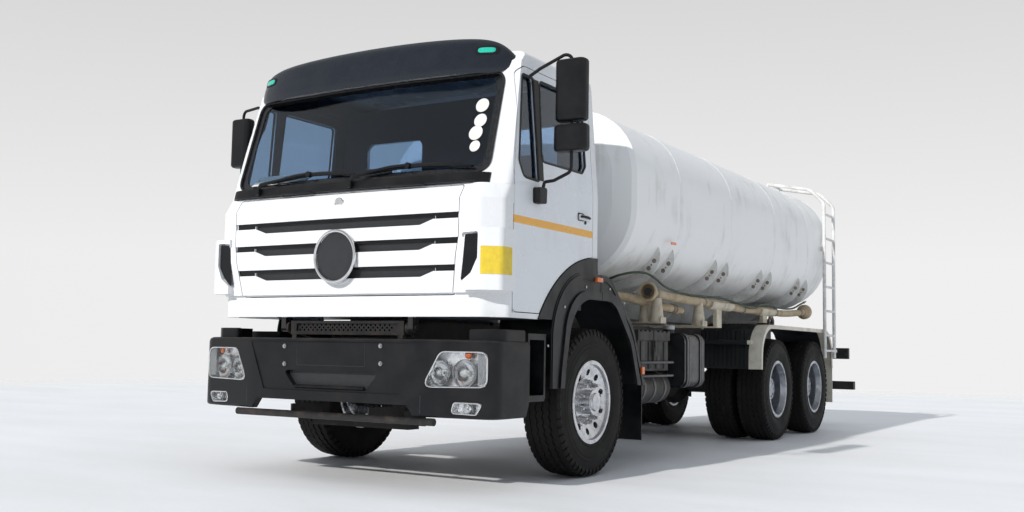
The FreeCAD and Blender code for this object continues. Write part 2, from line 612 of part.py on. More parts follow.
def make_cab():
    outer = cab_body(0)
    cavity = cab_body(CAB_WALL)
    shell = outer.cut(cavity)
    # underside clears the wheels and the engine
    half = CAB_HALF
    shell = shell.cut([arch_disc(WHEELHOUSE_R, -half - 50, half + 50)])
    arch_floor = arch_disc(WHEELHOUSE_R + 40, -half + CAB_WALL, half - CAB_WALL).cut(
        arch_disc(WHEELHOUSE_R, -half - 50, half + 50))
    shell = shell.fuse(arch_floor.common(outer))
    panel_hole = arch_disc(ARCH_PANEL_R + 1, ARCH_PANEL_IN, half + 80)
    shell = shell.cut(both_sides(panel_hole))
    tunnel = side_plate([(-1150, CAB_FLOOR - 50), (-1100, HOOD_TOP - 40), (200, HOOD_TOP - 40),
                         (200, CAB_FLOOR - 50)], 0, -HOOD_HALF + 40, HOOD_HALF - 40)
    hood = side_plate([(-1190, CAB_FLOOR - 50), (-1140, HOOD_TOP), (200, HOOD_TOP), (200, CAB_FLOOR - 50)],
                      0, -HOOD_HALF, HOOD_HALF)
    shell = shell.fuse(hood.common(outer)).cut(tunnel)
    # openings
    door_hole = side_plate(door_region(DOOR_GAP), [40, 200, 90, 90, 40], half - 180, half + 80)
    shell = shell.cut([door_hole, mirror(door_hole)])
    shell = shell.cut(screen_opening(200, 260))
    for x0, x1 in REAR_WINDOWS:
        window = front_plate([(x0, 2080), (x1, 2080), (x1, 2560), (x0, 2560)], 60,
                             CAB_REAR - 120, CAB_REAR + 50)
        shell = shell.cut(window)
    firewall = box(-half, half, FIREWALL_Y, FIREWALL_Y + 30, CAB_FLOOR, CAB_WAIST + 40).common(outer)
    shell = shell.fuse(firewall)
    # recess for the front flap
    flap_hole = front_plate(flap_outline(DOOR_GAP), 20, CAB_FRONT - 100, FIREWALL_Y - 8)
    shell = shell.cut(flap_hole)
    vent = front_plate(VENT, 12, CAB_FRONT - 50, CAB_FRONT + 150).cut(cab_body(22))
    shell = shell.cut([vent, mirror(vent)])
    # lugs of the tilt hinge under the floor, hinge lugs and pins of the doors
    lug = box(TILT_LUG_X, TILT_LUG_X + 40, TILT_Y - 34, TILT_Y + 34, TILT_Z, CAB_FLOOR + 30)
    lug = lug.fuse(rod((TILT_LUG_X, TILT_Y, TILT_Z), (TILT_LUG_X + 40, TILT_Y, TILT_Z), 34))
    lug = lug.cut(rod((TILT_LUG_X - 1, TILT_Y, TILT_Z), (TILT_LUG_X + 41, TILT_Y, TILT_Z), TILT_PIN_R + 1))
    shell = shell.fuse(both_sides(lug))
    # the pillar's edge is hollowed between the lugs so that the door's edge turns past it
    low_z, high_z = DOOR_HINGE_ZS
    for z0, z1 in ((DOOR_LOW - 10, low_z - 2 * HINGE_HALF), (low_z + 2 * HINGE_HALF, high_z - 2 * HINGE_HALF),
                   (high_z + 2 * HINGE_HALF, 2040)):
        shell = shell.cut(both_sides(door_hinge_rod(z0, z1, HINGE_R + 1)))
    for z in DOOR_HINGE_ZS:
        notch = door_hinge_rod(z - HINGE_HALF - SLIDE_GAP, z + HINGE_HALF + SLIDE_GAP, HINGE_R + 1)
        lugs = [door_hinge_rod(z - 2 * HINGE_HALF, z - HINGE_HALF - SLIDE_GAP, HINGE_R),
                door_hinge_rod(z + HINGE_HALF + SLIDE_GAP, z + 2 * HINGE_HALF, HINGE_R),
                door_hinge_rod(z - 2 * HINGE_HALF, z + 2 * HINGE_HALF, HINGE_PIN_R)]
        shell = shell.cut(both_sides(notch))
        for piece in lugs:
            shell = shell.fuse(both_sides(piece))
    save("cab_shell", shell.removeSplitter())
    return outer


def door_hinge_rod(z0, z1, radius):
    return rod((DOOR_HINGE_X, DOOR_HINGE_Y, z0), (DOOR_HINGE_X, DOOR_HINGE_Y, z1), radius)




def flap_outline(gap=0.0):
    right = [(FLAP_HALF + gap, FLAP_LOW - gap), (FLAP_HALF + 57 + gap, 1600),
             (FLAP_HALF + 61 + gap, FLAP_TOP + gap)]
    return right + [(-x, z) for x, z in reversed(right)]


def make_flap(outer):
    deep = cab_body(FLAP_T)
    flap = front_plate(flap_outline(), 14, CAB_FRONT - 50, CAB_FRONT + 140).common(outer).cut(deep)
    # three slots: a groove from edge to edge, open right through where it widens downwards
    groove_skin = cab_body(GROOVE_DEPTH)
    for z in SLOT_ZS:
        groove = box(-1100, 1100, CAB_FRONT - 50, CAB_FRONT + 90, z - 20, z + 20).cut(groove_skin)
        window = front_plate([(-SLOT_HALF, z + 20), (-SLOT_HALF, z - 20), (110 - SLOT_HALF, z - 58),
                              (SLOT_HALF - 110, z - 58), (SLOT_HALF, z - 20), (SLOT_HALF, z + 20)], 0,
                             CAB_FRONT - 50, CAB_FRONT + 90)
        flap = flap.cut([groove, window])
    # arms and buffers on its back that meet the firewall
    for x in (-700, 700):
        for z in (1320, 1870):
            flap = flap.fuse(rod((x, CAB_FRONT + 70, z), (x, FIREWALL_Y - SLIDE_GAP, z), 15))
    save("front_flap", flap.removeSplitter())


def make_windows(outer):
    pane = screen_opening(200, 260, SLIDE_GAP).common(outer)
    inner = cab_body(26)
    pane = pane.cut(inner)
    front_half = cab_body(12)
    panes = [pane.common(front_half)]
    for x0, x1 in REAR_WINDOWS:
        g = SLIDE_GAP
        panes.append(front_plate([(x0 + g, 2080 + g), (x1 - g, 2080 + g), (x1 - g, 2560 - g),
                                  (x0 + g, 2560 - g)],
                                 60, CAB_REAR - 30, CAB_REAR - 24))
    save("cab_glass", *panes)


def make_doors(outer):
    region = side_plate(door_region(0), [40, 200, 90, 90, 40], CAB_HALF - 178, CAB_HALF + 60)
    skin = outer.common(region).cut(cab_body(DOOR_T))
    skin = skin.cut(arch_disc(ARCH_PANEL_R + DOOR_GAP, 900, 1300))
    skin = skin.cut(box(900, CAB_HALF - DOOR_T, -1400, 0, CAB_FLOOR, DOOR_LOW + 60))
    windows = window_cuts(CAB_HALF - 260, CAB_HALF + 60)
    door = skin.cut(windows)
    handle = box(CAB_HALF - 4, CAB_HALF + 16, -310, -150, 1812, 1850)
    door = door.fuse(handle)
    for z in DOOR_HINGE_ZS:
        door = door.cut(door_hinge_rod(z - 2 * HINGE_HALF - 1, z + 2 * HINGE_HALF + 1, HINGE_R + 1))
        door = door.fuse([door_hinge_rod(z - HINGE_HALF, z + HINGE_HALF, HINGE_R),
                          box(DOOR_HINGE_X - 24, DOOR_HINGE_X - 4, DOOR_HINGE_Y + 2, DOOR_HINGE_Y + 30,
                              z - HINGE_HALF, z + HINGE_HALF)])
        door = door.cut(door_hinge_rod(z - 2 * HINGE_HALF, z + 2 * HINGE_HALF, HINGE_PIN_R + 1))
    door = door.removeSplitter()
    layer = cab_body(22).cut(cab_body(28))
    panes = [w.common(layer) for w in window_cuts(CAB_HALF - 260, CAB_HALF + 60, -SLIDE_GAP)]
    return door, panes




def make_mirror(heads, foot_z):
    """Mirror heads on a bent tube: top end in a socket over the door, foot on the door's skin."""
    x, y = MIRROR_X, MIRROR_Y
    solids = []
    for z, height, width, depth in heads:
        head = top_plate([(x - width / 2, y - depth / 2), (x + width / 2, y - depth / 2),
                          (x + width / 2, y + depth / 2), (x - width / 2, y + depth / 2)], 0.42 * depth,
                         z - height / 2, z + height / 2)
        edges = [e for e in head.Edges if abs(e.CenterOfMass.z - z) > height / 2 - 1]
        solids.append(head.makeFillet(24, edges))
    top, low = heads[0][0] + heads[0][1] / 2 + 62, heads[-1][0] - heads[-1][1] / 2 - 130
    arm = tube([(1188, -960, 2690), (1262, -950, 2735), (x, y, top), (x, y, low), (1345, -890, low - 50),
                (1275, -892, low - 55), (1262, -892, foot_z)], [0, 30, 45, 45, 40, 20, 0], 11)
    foot = side_plate([(-942, foot_z - 80), (-945, foot_z + 25), (-850, foot_z + 25),
                       (-855, foot_z - 80)], 18,
                      CAB_HALF + SLIDE_GAP, 1275)
    return arm.fuse(solids + [foot]).removeSplitter()


def make_mirrors():
    """Two heads on the left, one lower head on the driver's side: centre height, height, width, depth."""
    left = make_mirror([(2580, 410, 222, 112), (2266, 178, 240, 112)], 1930)
    right = make_mirror([(2479, 384, 190, 100)], 1930)
    return left, mirror(right)


def make_cab_fittings():
    # roof visor: a shell standing ahead of the roof's front edge
    lean = 0.25 * (3040 - 2650)
    right = [(0, -1232), (760, -1205), (1085, -1125), (1162, -1000), (1162, -700)]
    block = top_plate(mirrored_outline(right), mirrored_radii(right, [12000, 900, 120, 60, 0]), 2650, 3040,
                      lean=lean)
    hollow = top_plate([(-1085, -1085), (-700, -1165), (700, -1165), (1085, -1085), (1085, -800),
                        (-1085, -800)],
                       0, 2650, 2945, lean=0.25 * (2945 - 2650))
    front_shape = [(0, 2712), (1010, 2704), (1200, 2690), (1200, 2880), (1100, 2940), (0, 2994)]
    outline = front_plate(mirrored_outline(front_shape),
                          mirrored_radii(front_shape, [20000, 900, 0, 70, 200, 12000]), -1500, -600)
    side = side_plate([(-1400, 2600), (-1085, 2695), (-1000, 2792), (-955, 2840), (-900, 3000),
                       (-1400, 3000)],
                      [0, 30, 60, 60, 0, 0], -1300, 1300)
    grown_cab = cab_body(-SLIDE_GAP)
    visor = block.cut(hollow).common(outline).common(side).cut(grown_cab)
    visor = max(visor.Solids, key=lambda solid: solid.Volume)
    # black band below the windscreen
    band = cab_prism(0, COWL_SET, CAB_WAIST + 6, 2012, COWL_SLOPE, LOW_CORNER).cut(grown_cab)
    band = band.common(box(-1160, 1160, -1500, -1180, CAB_WAIST, 2012))
    save("visor_and_cowl", visor, band)


def arch_side(inset, x0, x1):
    """Prism with the arch's outer outline in the side view: upright in front, sloping behind."""
    points = [(-692 + inset, 520), (-692 + inset, 1443 - inset), (180 - inset * 0.4, 1443 - inset),
              (600 - inset * 0.8, 1075 - inset * 0.6), (855 - inset, 520)]
    return side_plate(points, [0, 480 - inset, 260, 420, 0], x0, x1)


def arch_opening(grow, x0, x1):
    """Prism with the outline of the arch's rolled lip."""
    points = [(-545 - grow, 400), (-505 - grow, 760), (-400 - grow, 1258 + grow), (230 + grow, 1258 + grow),
              (520 + grow, 960), (745 + grow, 400)]
    return side_plate(points, [0, 200, 330, 240, 300, 0], x0, x1)


def make_arches():
    """Front arch on the cab, rear arch with its flap on the chassis, split by one upright cut."""
    face = arch_side(0, CAB_HALF + 2, ARCH_FACE).cut(arch_opening(0, 1200, 1300))
    lip = arch_opening(58, ARCH_FACE - 4, ARCH_LIP).cut(arch_opening(0, 1200, 1300))
    rim_band = arch_side(14, ARCH_FACE - 4, ARCH_FACE + 6).cut(arch_side(44, 1200, 1300))
    liner = arch_side(28, 800, ARCH_FACE - 2).common(arch_disc(WHEELHOUSE_R - 6, 700, 1300))
    liner = liner.cut(arch_side(36, 700, 1300).common(arch_disc(WHEELHOUSE_R - 14, 700, 1300)))
    arch = face.fuse([lip.common(arch_side(20, 1200, 1300)), rim_band, liner])
    arch = arch.cut(box(700, 1300, -800, 900, 380, ARCH_LOW))
    front = arch.common(box(700, 1300, -800, ARCH_SPLIT_Y - DOOR_GAP / 2, 400, 1600))
    panel = arch_disc(ARCH_PANEL_R, ARCH_PANEL_IN + SLIDE_GAP, CAB_HALF + 7).cut(arch_side(30, 1000, 1300))
    panel = panel.common(box(1000, 1300, -900, CAB_REAR - 2, CAB_FLOOR + 3, 1600))
    stay = box(800, 980, -120, -60, 1405, TYRE_R + WHEELHOUSE_R)
    stay = stay.common(arch_disc(WHEELHOUSE_R - SLIDE_GAP, 700, 1000))
    save("front_arches", *both_sides(front.fuse([panel, stay]).removeSplitter()))
    rear = arch.common(box(700, 1300, ARCH_SPLIT_Y + DOOR_GAP / 2, 900, 400, 1600))
    flap = box(830, 1225, 762, 770, 215, ARCH_LOW + 40)
    bracket = rod((FRAME_HALF + SLIDE_GAP, 745, 900), (1000, 745, 900), 18)
    post = box(985, 1015, 630, 760, 885, 915)
    return both_sides(rear.fuse([flap, bracket, post]).removeSplitter())


def make_step_boxes(rear_arches):
    y0, y1 = BUMPER_BACK + 12, -742
    well = box(930, CAB_HALF - 1, y0, y1, 575, 1000)
    well = well.cut(box(975, 1300, y0 + 22, y1 - 22, 600, 960))
    tread = box(975, CAB_HALF - 1, y0 + 10, y1 - 10, 560, 596)
    bracket = box(FRAME_HALF + SLIDE_GAP, 935, y0 + 60, y0 + 120, 815, 875)
    boxes = both_sides(well.fuse([tread, bracket]).removeSplitter())
    save("rear_arches_and_steps", *(rear_arches + boxes))


def make_interior():
    room = cab_body(DOOR_T)
    back = FIREWALL_Y + 30 + SLIDE_GAP
    dash = side_plate([(back, 1480), (back, 1960), (-1040, 1975), (-930, 1890), (-950, 1740), (-1060, 1640),
                       (-1120, 1480)], [0, 0, 60, 70, 60, 40, 0], -1085, 1085).common(room)
    dash = dash.cut(box(-HOOD_HALF - 1, HOOD_HALF + 1, -1300, -900, 1400, HOOD_TOP + SLIDE_GAP))
    column_top = V(-700, -905, 1925)
    lean = V(0, 0.50, 0.866)
    foot = column_top - lean * 330
    column = Part.makeCylinder(32, 330 - SLIDE_GAP, foot, lean)
    dash = dash.fuse(column).removeSplitter()
    wheel = Part.makeTorus(222, 15, column_top + lean * 12, lean)
    hub = Part.makeCylinder(48, 26, column_top, lean)
    side = lean.cross(V(1, 0, 0))
    spokes = []
    for angle in (90, 210, 330):
        a = math.radians(angle)
        tip = column_top + lean * 12 + V(1, 0, 0) * (218 * math.cos(a)) + side * (218 * math.sin(a))
        spokes.append(rod(tuple(column_top + lean * 12), tuple(tip), 10))
    save("steering_wheel", hub.fuse([wheel] + spokes).removeSplitter())
    seats = []
    for x in (-700, 700):
        base = box(x - 190, x + 190, -640, -240, 1180, 1545)
        base = base.cut(arch_disc(WHEELHOUSE_R + 40 + SLIDE_GAP, -1200, 1200))
        cushion = side_plate([(-760, 1545), (-765, 1640), (-240, 1610), (-200, 1545)], [30, 50, 20, 10],
                             x - 250, x + 250)
        back = side_plate([(-310, 1600), (-215, 2180), (-110, 2180), (-175, 1560)], [40, 50, 45, 30],
                          x - 240, x + 240)
        head = side_plate([(-228, 2175), (-215, 2330), (-125, 2330), (-115, 2175)], [20, 40, 40, 20],
                          x - 140, x + 140)
        seats.append(base.fuse([cushion, back, head]).removeSplitter())
    save("cab_interior", dash, *seats)


def make_cab_trim():
    flare = cab_prism(-28, 18, 1258, 1646, 0.0, FLARE_CORNER).cut(cab_body(-SLIDE_GAP))
    for z in DOOR_HINGE_ZS:
        flare = flare.cut(door_hinge_rod(z - 2 * HINGE_HALF - 3, z + 2 * HINGE_HALF + 3, HINGE_R + 3))
    flare = flare.common(box(1004, 1300, CAB_FRONT - 50, DOOR_FRONT - 14, 1258, 1646))
    flare = flare.cut(front_plate(grown(VENT, 10), 12, CAB_FRONT - 100, CAB_FRONT + 160))
    save("corner_flares", *both_sides(flare))
    # wipers parked along the bottom of the glass: x of the pivot and of the blade's tip
    wipers = []
    for pivot_x, tip_x in ((-790, 60), (65, 985)):
        front = (CAB_FRONT + COWL_SET + COWL_SLOPE * (1985 - CAB_WAIST)
                 + LOW_CORNER[1] * abs(pivot_x) / LOW_CORNER[0])
        pivot = rod((pivot_x, front - 26, 1985), (pivot_x, front + 30, 1985), 24)
        pivot = pivot.cut(cab_prism(0, COWL_SET - SLIDE_GAP, CAB_WAIST + 6, 2040, COWL_SLOPE, LOW_CORNER))
        mid_x = pivot_x + 430
        arm = tube([(pivot_x - 3, front - 18, 1983), (pivot_x + 30, front - 18, 2036),
                    (pivot_x + 240, screen_y(pivot_x + 240, 2062) - 36, 2062),
                    (mid_x, screen_y(mid_x, 2080) - 20, 2080)], [0, 20, 200, 0], 10)
        blade = tube([(pivot_x + 90, screen_y(pivot_x + 90, 2064) - 13, 2064),
                      (mid_x, screen_y(mid_x, 2080) - 13, 2080),
                      (tip_x, screen_y(tip_x, 2060) - 13, 2060)], [0, 900, 0], 11)
        wipers.append(pivot.fuse([arm, blade]).removeSplitter())
    save("wipers", *wipers)


# ---- power unit --------------------------------------------------------------------------------
def make_power_unit():
    low = RAIL_TOP - RAIL_H
    block = side_plate([(-900, 640), (-900, 1500), (-760, 1540), (250, 1540), (380, 1300), (380, 640),
                        (100, 600), (-700, 600)], [40, 60, 30, 60, 60, 40, 40, 40], -320, 320)
    for y in (-620, 230):
        for side in (-1, 1):
            block = block.fuse(box(min(side * 310, side * 415), max(side * 310, side * 415), y - 50, y + 50,
                                   low + RAIL_T + SLIDE_GAP, 880))
    block = block.removeSplitter()
    core = box(-290, 290, -1130, RAIL_FRONT + 20 - SLIDE_GAP, 620, 1060)
    for k in range(9):
        z = 640 + 46 * k
        core = core.cut(box(-270, 270, -1131, -1118, z, z + 30))
    gearbox = side_plate([(380 + SLIDE_GAP, 640), (380 + SLIDE_GAP, 1040), (620, 980), (1180, 940),
                          (1250, 880), (1250, 720), (1180, 660)], [0, 0, 40, 40, 30, 30, 40], -180, 180)
    front_y, front_z = 1250.0, 790.0
    banjo_y = AXLE_YS[0] - 150
    shaft = rod((0, front_y - 5, front_z), (0, banjo_y - 30, 575), 50)
    flange = rod((0, banjo_y - 40, 570), (0, banjo_y - SLIDE_GAP, 570), 75)
    between = rod((0, AXLE_YS[0] + 190 + SLIDE_GAP, 545), (0, AXLE_YS[1] - 150 - SLIDE_GAP, 545), 48)
    save("power_train", block, core, gearbox.fuse([shaft, flange]).removeSplitter(), between)


# ---- side equipment ----------------------------------------------------------------------------
def make_side_equipment():
    web = FRAME_HALF + SLIDE_GAP
    # fuel tank on the left with two straps and brackets
    y0, y1 = 1674, 2134
    body = front_plate([(600, 602), (1205, 602), (1205, 1052), (600, 1052)], 70, y0, y1)
    straps = []
    for y in (y0 + 45, y1 - 125):
        strap = front_plate([(594, 596), (1211, 596), (1211, 1058), (594, 1058)], 75, y, y + 80)
        bracket = box(web, 640, y, y + 80, 830, 900)
        straps += [strap, bracket]
    neck = rod((960, y0 + 230, 1040), (960, y0 + 230, 1100), 48)
    save("fuel_tank", body.fuse(straps + [neck]).removeSplitter())
    # battery box ahead of it: ribbed lid over a plain case
    case = box(600, 1170, 800, 1400, 745, 990)
    lid = box(590, 1182, 790, 1412, 990, 1068)
    for k in range(7):
        y = 820 + 84 * k
        lid = lid.cut(box(620, 1183, y, y + 40, 1056, 1069))
    tray = box(web, 620, 850, 930, 830, 900).fuse(box(web, 620, 1270, 1350, 830, 900))
    save("battery_box", case.fuse([lid, tray]).removeSplitter())
    # air reservoirs under the battery box and on the right
    left = rod((1020, 830, 605), (1020, 1540, 605), 128)
    edges = [e for e in left.Edges if isinstance(e.Curve, Part.Circle)]
    left = left.makeFillet(45, edges)
    hanger = box(990, 1050, 1050, 1110, 720, 745 - SLIDE_GAP)
    left = left.fuse(hanger).removeSplitter()
    right = []
    for z in (640, 930):
        tank = rod((-640, 900, z), (-640, 1700, z), 128)
        edges = [e for e in tank.Edges if isinstance(e.Curve, Part.Circle)]
        tank = tank.makeFillet(45, edges)
        right.append(tank)
    rack = box(-520, -web, 1180, 1240, 560, 1040).fuse(box(-520, -web, 1480, 1540, 560, 1040))
    rack = rack.fuse(right).removeSplitter()
    save("air_reservoirs", left, rack)
    # exhaust silencer on the right, behind the reservoirs
    can = rod((-820, 2050, 780), (-820, 2950, 780), 190)
    pipe = tube([(-820, 2945, 780), (-820, 3150, 780), (-820, 3150, 560), (-820, 3300, 430)],
                [0, 70, 70, 0], 55, 48)
    arms = box(-700, -web, 2200, 2260, 820, 900).fuse(box(-700, -web, 2740, 2800, 820, 900))
    save("silencer", can.fuse([pipe, arms]).removeSplitter())


# ---- tank --------------------------------------------------------------------------------------
def tank_section(scale=1.0, grow=0.0):
    """Right half of the section, bottom to top, and its corner radii."""
    middle = (TANK_TOP + TANK_BOTTOM) / 2
    half = TANK_HALF * scale + grow
    rise = (TANK_TOP - middle) * scale + grow
    fall = TANK_CROWN * scale
    points = [(0, middle - rise), (half, middle - rise + fall * 0.5), (half, middle + rise - fall),
              (0, middle + rise)]
    return points, [4000 * scale, (TANK_CORNER + grow) * scale, (TANK_CORNER + grow) * scale, 3000 * scale]


def tank_wire(y, scale=1.0, grow=0.0):
    right, radii = tank_section(scale, grow)
    outline = mirrored_outline(right)
    return rounded_path([(x, y, z) for x, z in outline], mirrored_radii(right, radii))


def tank_prism(y0, y1, grow=0.0):
    return Part.Face(tank_wire(y0, 1.0, grow)).extrude(V(0, y1 - y0, 0))


def make_tank():
    barrel = tank_prism(TANK_FRONT, TANK_REAR)
    # each head is dished in rings: scale of the section, rise of the dish
    rings = [(1.0, 0.0), (0.975, 0.30), (0.85, 0.66), (0.60, 0.90), (0.30, 1.0)]
    for y, way in ((TANK_FRONT, -1), (TANK_REAR, 1)):
        for (s0, d0), (s1, d1) in zip(rings, rings[1:]):
            wires = [tank_wire(y + way * TANK_DISH * d0, s0), tank_wire(y + way * TANK_DISH * d1, s1)]
            barrel = barrel.fuse(Part.makeLoft(wires, True, True))
    # rear outlet with its flange, low in the head
    outlet = rod((0, TANK_REAR, 1640), (0, TANK_REAR + 160, 1640), 62)
    outlet = outlet.fuse(rod((0, TANK_REAR + 142, 1640), (0, TANK_REAR + 160, 1640), 105))
    barrel = barrel.fuse(outlet)
    save("tank_barrel", barrel.removeSplitter())


def make_manhole_lid():
    z = TANK_TOP + NECK_RISE + SLIDE_GAP
    lid = rod((0, MANHOLE_Y, z), (0, MANHOLE_Y, z + LID_T), LID_R)
    ear = box(-60, 60, LID_HINGE_Y + 2, MANHOLE_Y - 250, z, z + LID_T)
    roll = rod((-60, LID_HINGE_Y, z + 6), (60, LID_HINGE_Y, z + 6), 14)
    y, top = MANHOLE_Y + 180, z + LID_T
    grip = tube([(-70, y, top - 2), (-70, y, top + 34), (70, y, top + 34), (70, y, top - 2)],
                [0, 14, 14, 0], 8)
    lid = lid.fuse([ear, roll, grip])
    lid = lid.cut(rod((-70, LID_HINGE_Y, z + 6), (70, LID_HINGE_Y, z + 6), 6))
    save("manhole_lid", lid.removeSplitter())


def make_manhole_neck():
    """Ring standing on the tank, with the pin and two ears of the lid's hinge ahead of it."""
    neck = rod((0, MANHOLE_Y, TANK_TOP - 60), (0, MANHOLE_Y, TANK_TOP + NECK_RISE), 262)
    neck = neck.cut(rod((0, MANHOLE_Y, TANK_TOP - 70), (0, MANHOLE_Y, TANK_TOP + 90), 240))
    z = TANK_TOP + NECK_RISE + SLIDE_GAP + 6
    hinge = rod((-90, LID_HINGE_Y, z), (90, LID_HINGE_Y, z), 5)
    for x in (-78, 78):
        hinge = hinge.fuse(box(x - 12, x + 12, LID_HINGE_Y - 20, LID_HINGE_Y + 20, TANK_TOP - 60, z + 12))
    foot = box(-90, 90, LID_HINGE_Y - 20, MANHOLE_Y - 240, TANK_TOP - 60, TANK_TOP + 12)
    foot = foot.cut(rod((0, MANHOLE_Y, TANK_TOP - 70), (0, MANHOLE_Y, TANK_TOP + 90), 250))
    neck = neck.fuse([hinge, foot]).cut(tank_prism(TANK_FRONT, TANK_REAR, SLIDE_GAP))
    save("manhole_neck", max(neck.Solids, key=lambda solid: solid.BoundBox.ZMax).removeSplitter())


def saddle_plate(y):
    """Crescent plate from the subframe round the tank's lower corners, with two holes at each tip."""
    tip, swell, turn, belly, under, foot = (1135, SADDLE_TIP_Z), (1150, 1680), (1100, 1554), (1005, 1474), \
        (800, 1432), (460, SUB_TOP)
    edges = []
    for side in (1, -1):
        spots = [V(side * x, y, z) for x, z in (tip, swell, turn, belly, under, foot)]
        tip_v, swell_v, turn_v, belly_v, under_v, foot_v = spots
        edges += [Part.Arc(tip_v, swell_v, turn_v).toShape(), Part.Arc(turn_v, belly_v, under_v).toShape(),
                  Part.LineSegment(under_v, foot_v).toShape()]
    edges.append(Part.LineSegment(V(-foot[0], y, foot[1]), V(foot[0], y, foot[1])).toShape())
    edges.append(Part.LineSegment(V(-tip[0], y, tip[1]), V(tip[0], y, tip[1])).toShape())
    blank = Part.Face(Part.Wire(Part.sortEdges(edges)[0])).extrude(V(0, SADDLE_T, 0))
    blank = blank.cut(tank_prism(TANK_FRONT, TANK_REAR, SLIDE_GAP))
    for side in (-1, 1):
        for x, z, r in ((1098, 1650, 20), (1048, 1590, 20), (1072, 1616, 8)):
            blank = blank.cut(rod((side * x, y - 5, z), (side * x, y + 20, z), r))
    return max(blank.Solids, key=lambda solid: solid.Volume)


def make_saddles():
    plates = []
    for y in SADDLE_PAIRS:
        plates += [saddle_plate(y), saddle_plate(y + SADDLE_GAP)]
    save("tank_saddles", *plates)


def make_subframe():
    z0 = RAIL_TOP + SLIDE_GAP
    top = SUB_TOP - SLIDE_GAP
    frame = box(345, 430, TANK_FRONT + 60, TANK_REAR + 300, z0, top)
    cross = []
    for y in SADDLE_PAIRS:
        cross.append(box(-400, 400, y - 30, y + SADDLE_GAP + 40, top - 60, top))
    save("tank_subframe", frame.fuse([mirror(frame)] + cross).removeSplitter())


# ---- hoses on the left of the tank ---------------------------------------------------------------
HOSE_SEAT = 0.8                 # between a hose and the post or trough under it
SUCTION_R = 36.0
SUCTION = [(1100, 1215, 1384), (1096, 1950, 1352), (1104, 2780, 1362), (1092, 3480, 1330), (1102, 4130, 1356),
           (1094, 4800, 1330), (1100, 5470, 1385)]
DELIVERY_R = 36.0
DELIVERY = [(1040, 1830, 1272), (1010, 1560, 1290), (985, 1300, 1312), (975, 1110, 1332), (905, 958, 1346),
            (780, 860, 1356), (636, 846, 1366)]
WASH_R = 10.0
WASH = [(655, 850, 1428), (765, 849, 1442), (880, 842, 1472), (988, 848, 1508), (1070, 908, 1530),
        (1103, 1020, 1538), (1108, 1150, 1530), (1112, 1290, 1498), (1118, 1410, 1454), (1116, 1560, 1428),
        (1104, 1790, 1415), (1100, 2040, 1404), (1110, 2290, 1408), (1106, 2540, 1414), (1112, 2780, 1418),
        (1106, 2990, 1408),
        (1150, 3210, 1374), (1154, 3450, 1347), (1150, 3690, 1360), (1118, 3930, 1404), (1108, 4170, 1412),
        (1101, 4420, 1404), (1104, 4670, 1394), (1110, 4920, 1398), (1104, 5150, 1420), (1098, 5360, 1468),
        (1094, 5540, 1500)]


def route_radii(route):
    """Bend at each inner point: 0.45 of its shorter run over the tangent of half the turn."""
    radii = [0.0]
    for before, point, after in zip(route, route[1:], route[2:]):
        inward, outward = V(*point) - V(*before), V(*after) - V(*point)
        half = inward.getAngle(outward) / 2
        radii.append(0.45 * min(inward.Length, outward.Length) / math.tan(half))
    return radii + [0.0]


def hose(route, radius):
    return tube(route, route_radii(route), radius)


def along(route, index, radius0, radius1, length, start=0.0):
    """Cone on the end of a route, pointing out of it."""
    end = V(*route[index])
    outward = (end - V(*route[1 if index == 0 else index - 1])).normalize()
    if radius0 == radius1:
        return Part.makeCylinder(radius0, length, end + outward * start, outward)
    return Part.makeCone(radius0, radius1, length, end + outward * start, outward)


def make_hoses():
    for name, route, radius in (("suction_hose", SUCTION, SUCTION_R), ("delivery_hose", DELIVERY, DELIVERY_R),
                                ("wash_hose", WASH, WASH_R)):
        solid = hose(route, radius)
        length = rounded_path(route, route_radii(route), closed=False).Length
        smallest = min(route_radii(route)[1:-1])
        print("%s: length %.0f, radii from %.0f, volume ratio %.4f"
              % (name, length, smallest, solid.Volume / (math.pi * radius ** 2 * length)))
        save(name, solid)
    # bell mouths of the suction hose, flat nozzle of the delivery hose, nozzle of the wash hose
    fittings = []
    for index, mouth in ((0, 76.0), (-1, 84.0)):
        bell = along(SUCTION, index, 44, mouth, 45).fuse(along(SUCTION, index, mouth, mouth, 42, 45))
        bell = bell.cut(along(SUCTION, index, mouth - 16, mouth - 12, 80, 20))
        fittings.append(bell)
    fittings.append(along(DELIVERY, 0, 42, 26, 140))
    fittings.append(along(WASH, -1, 14, 9, 90))
    save("hose_fittings", *fittings)


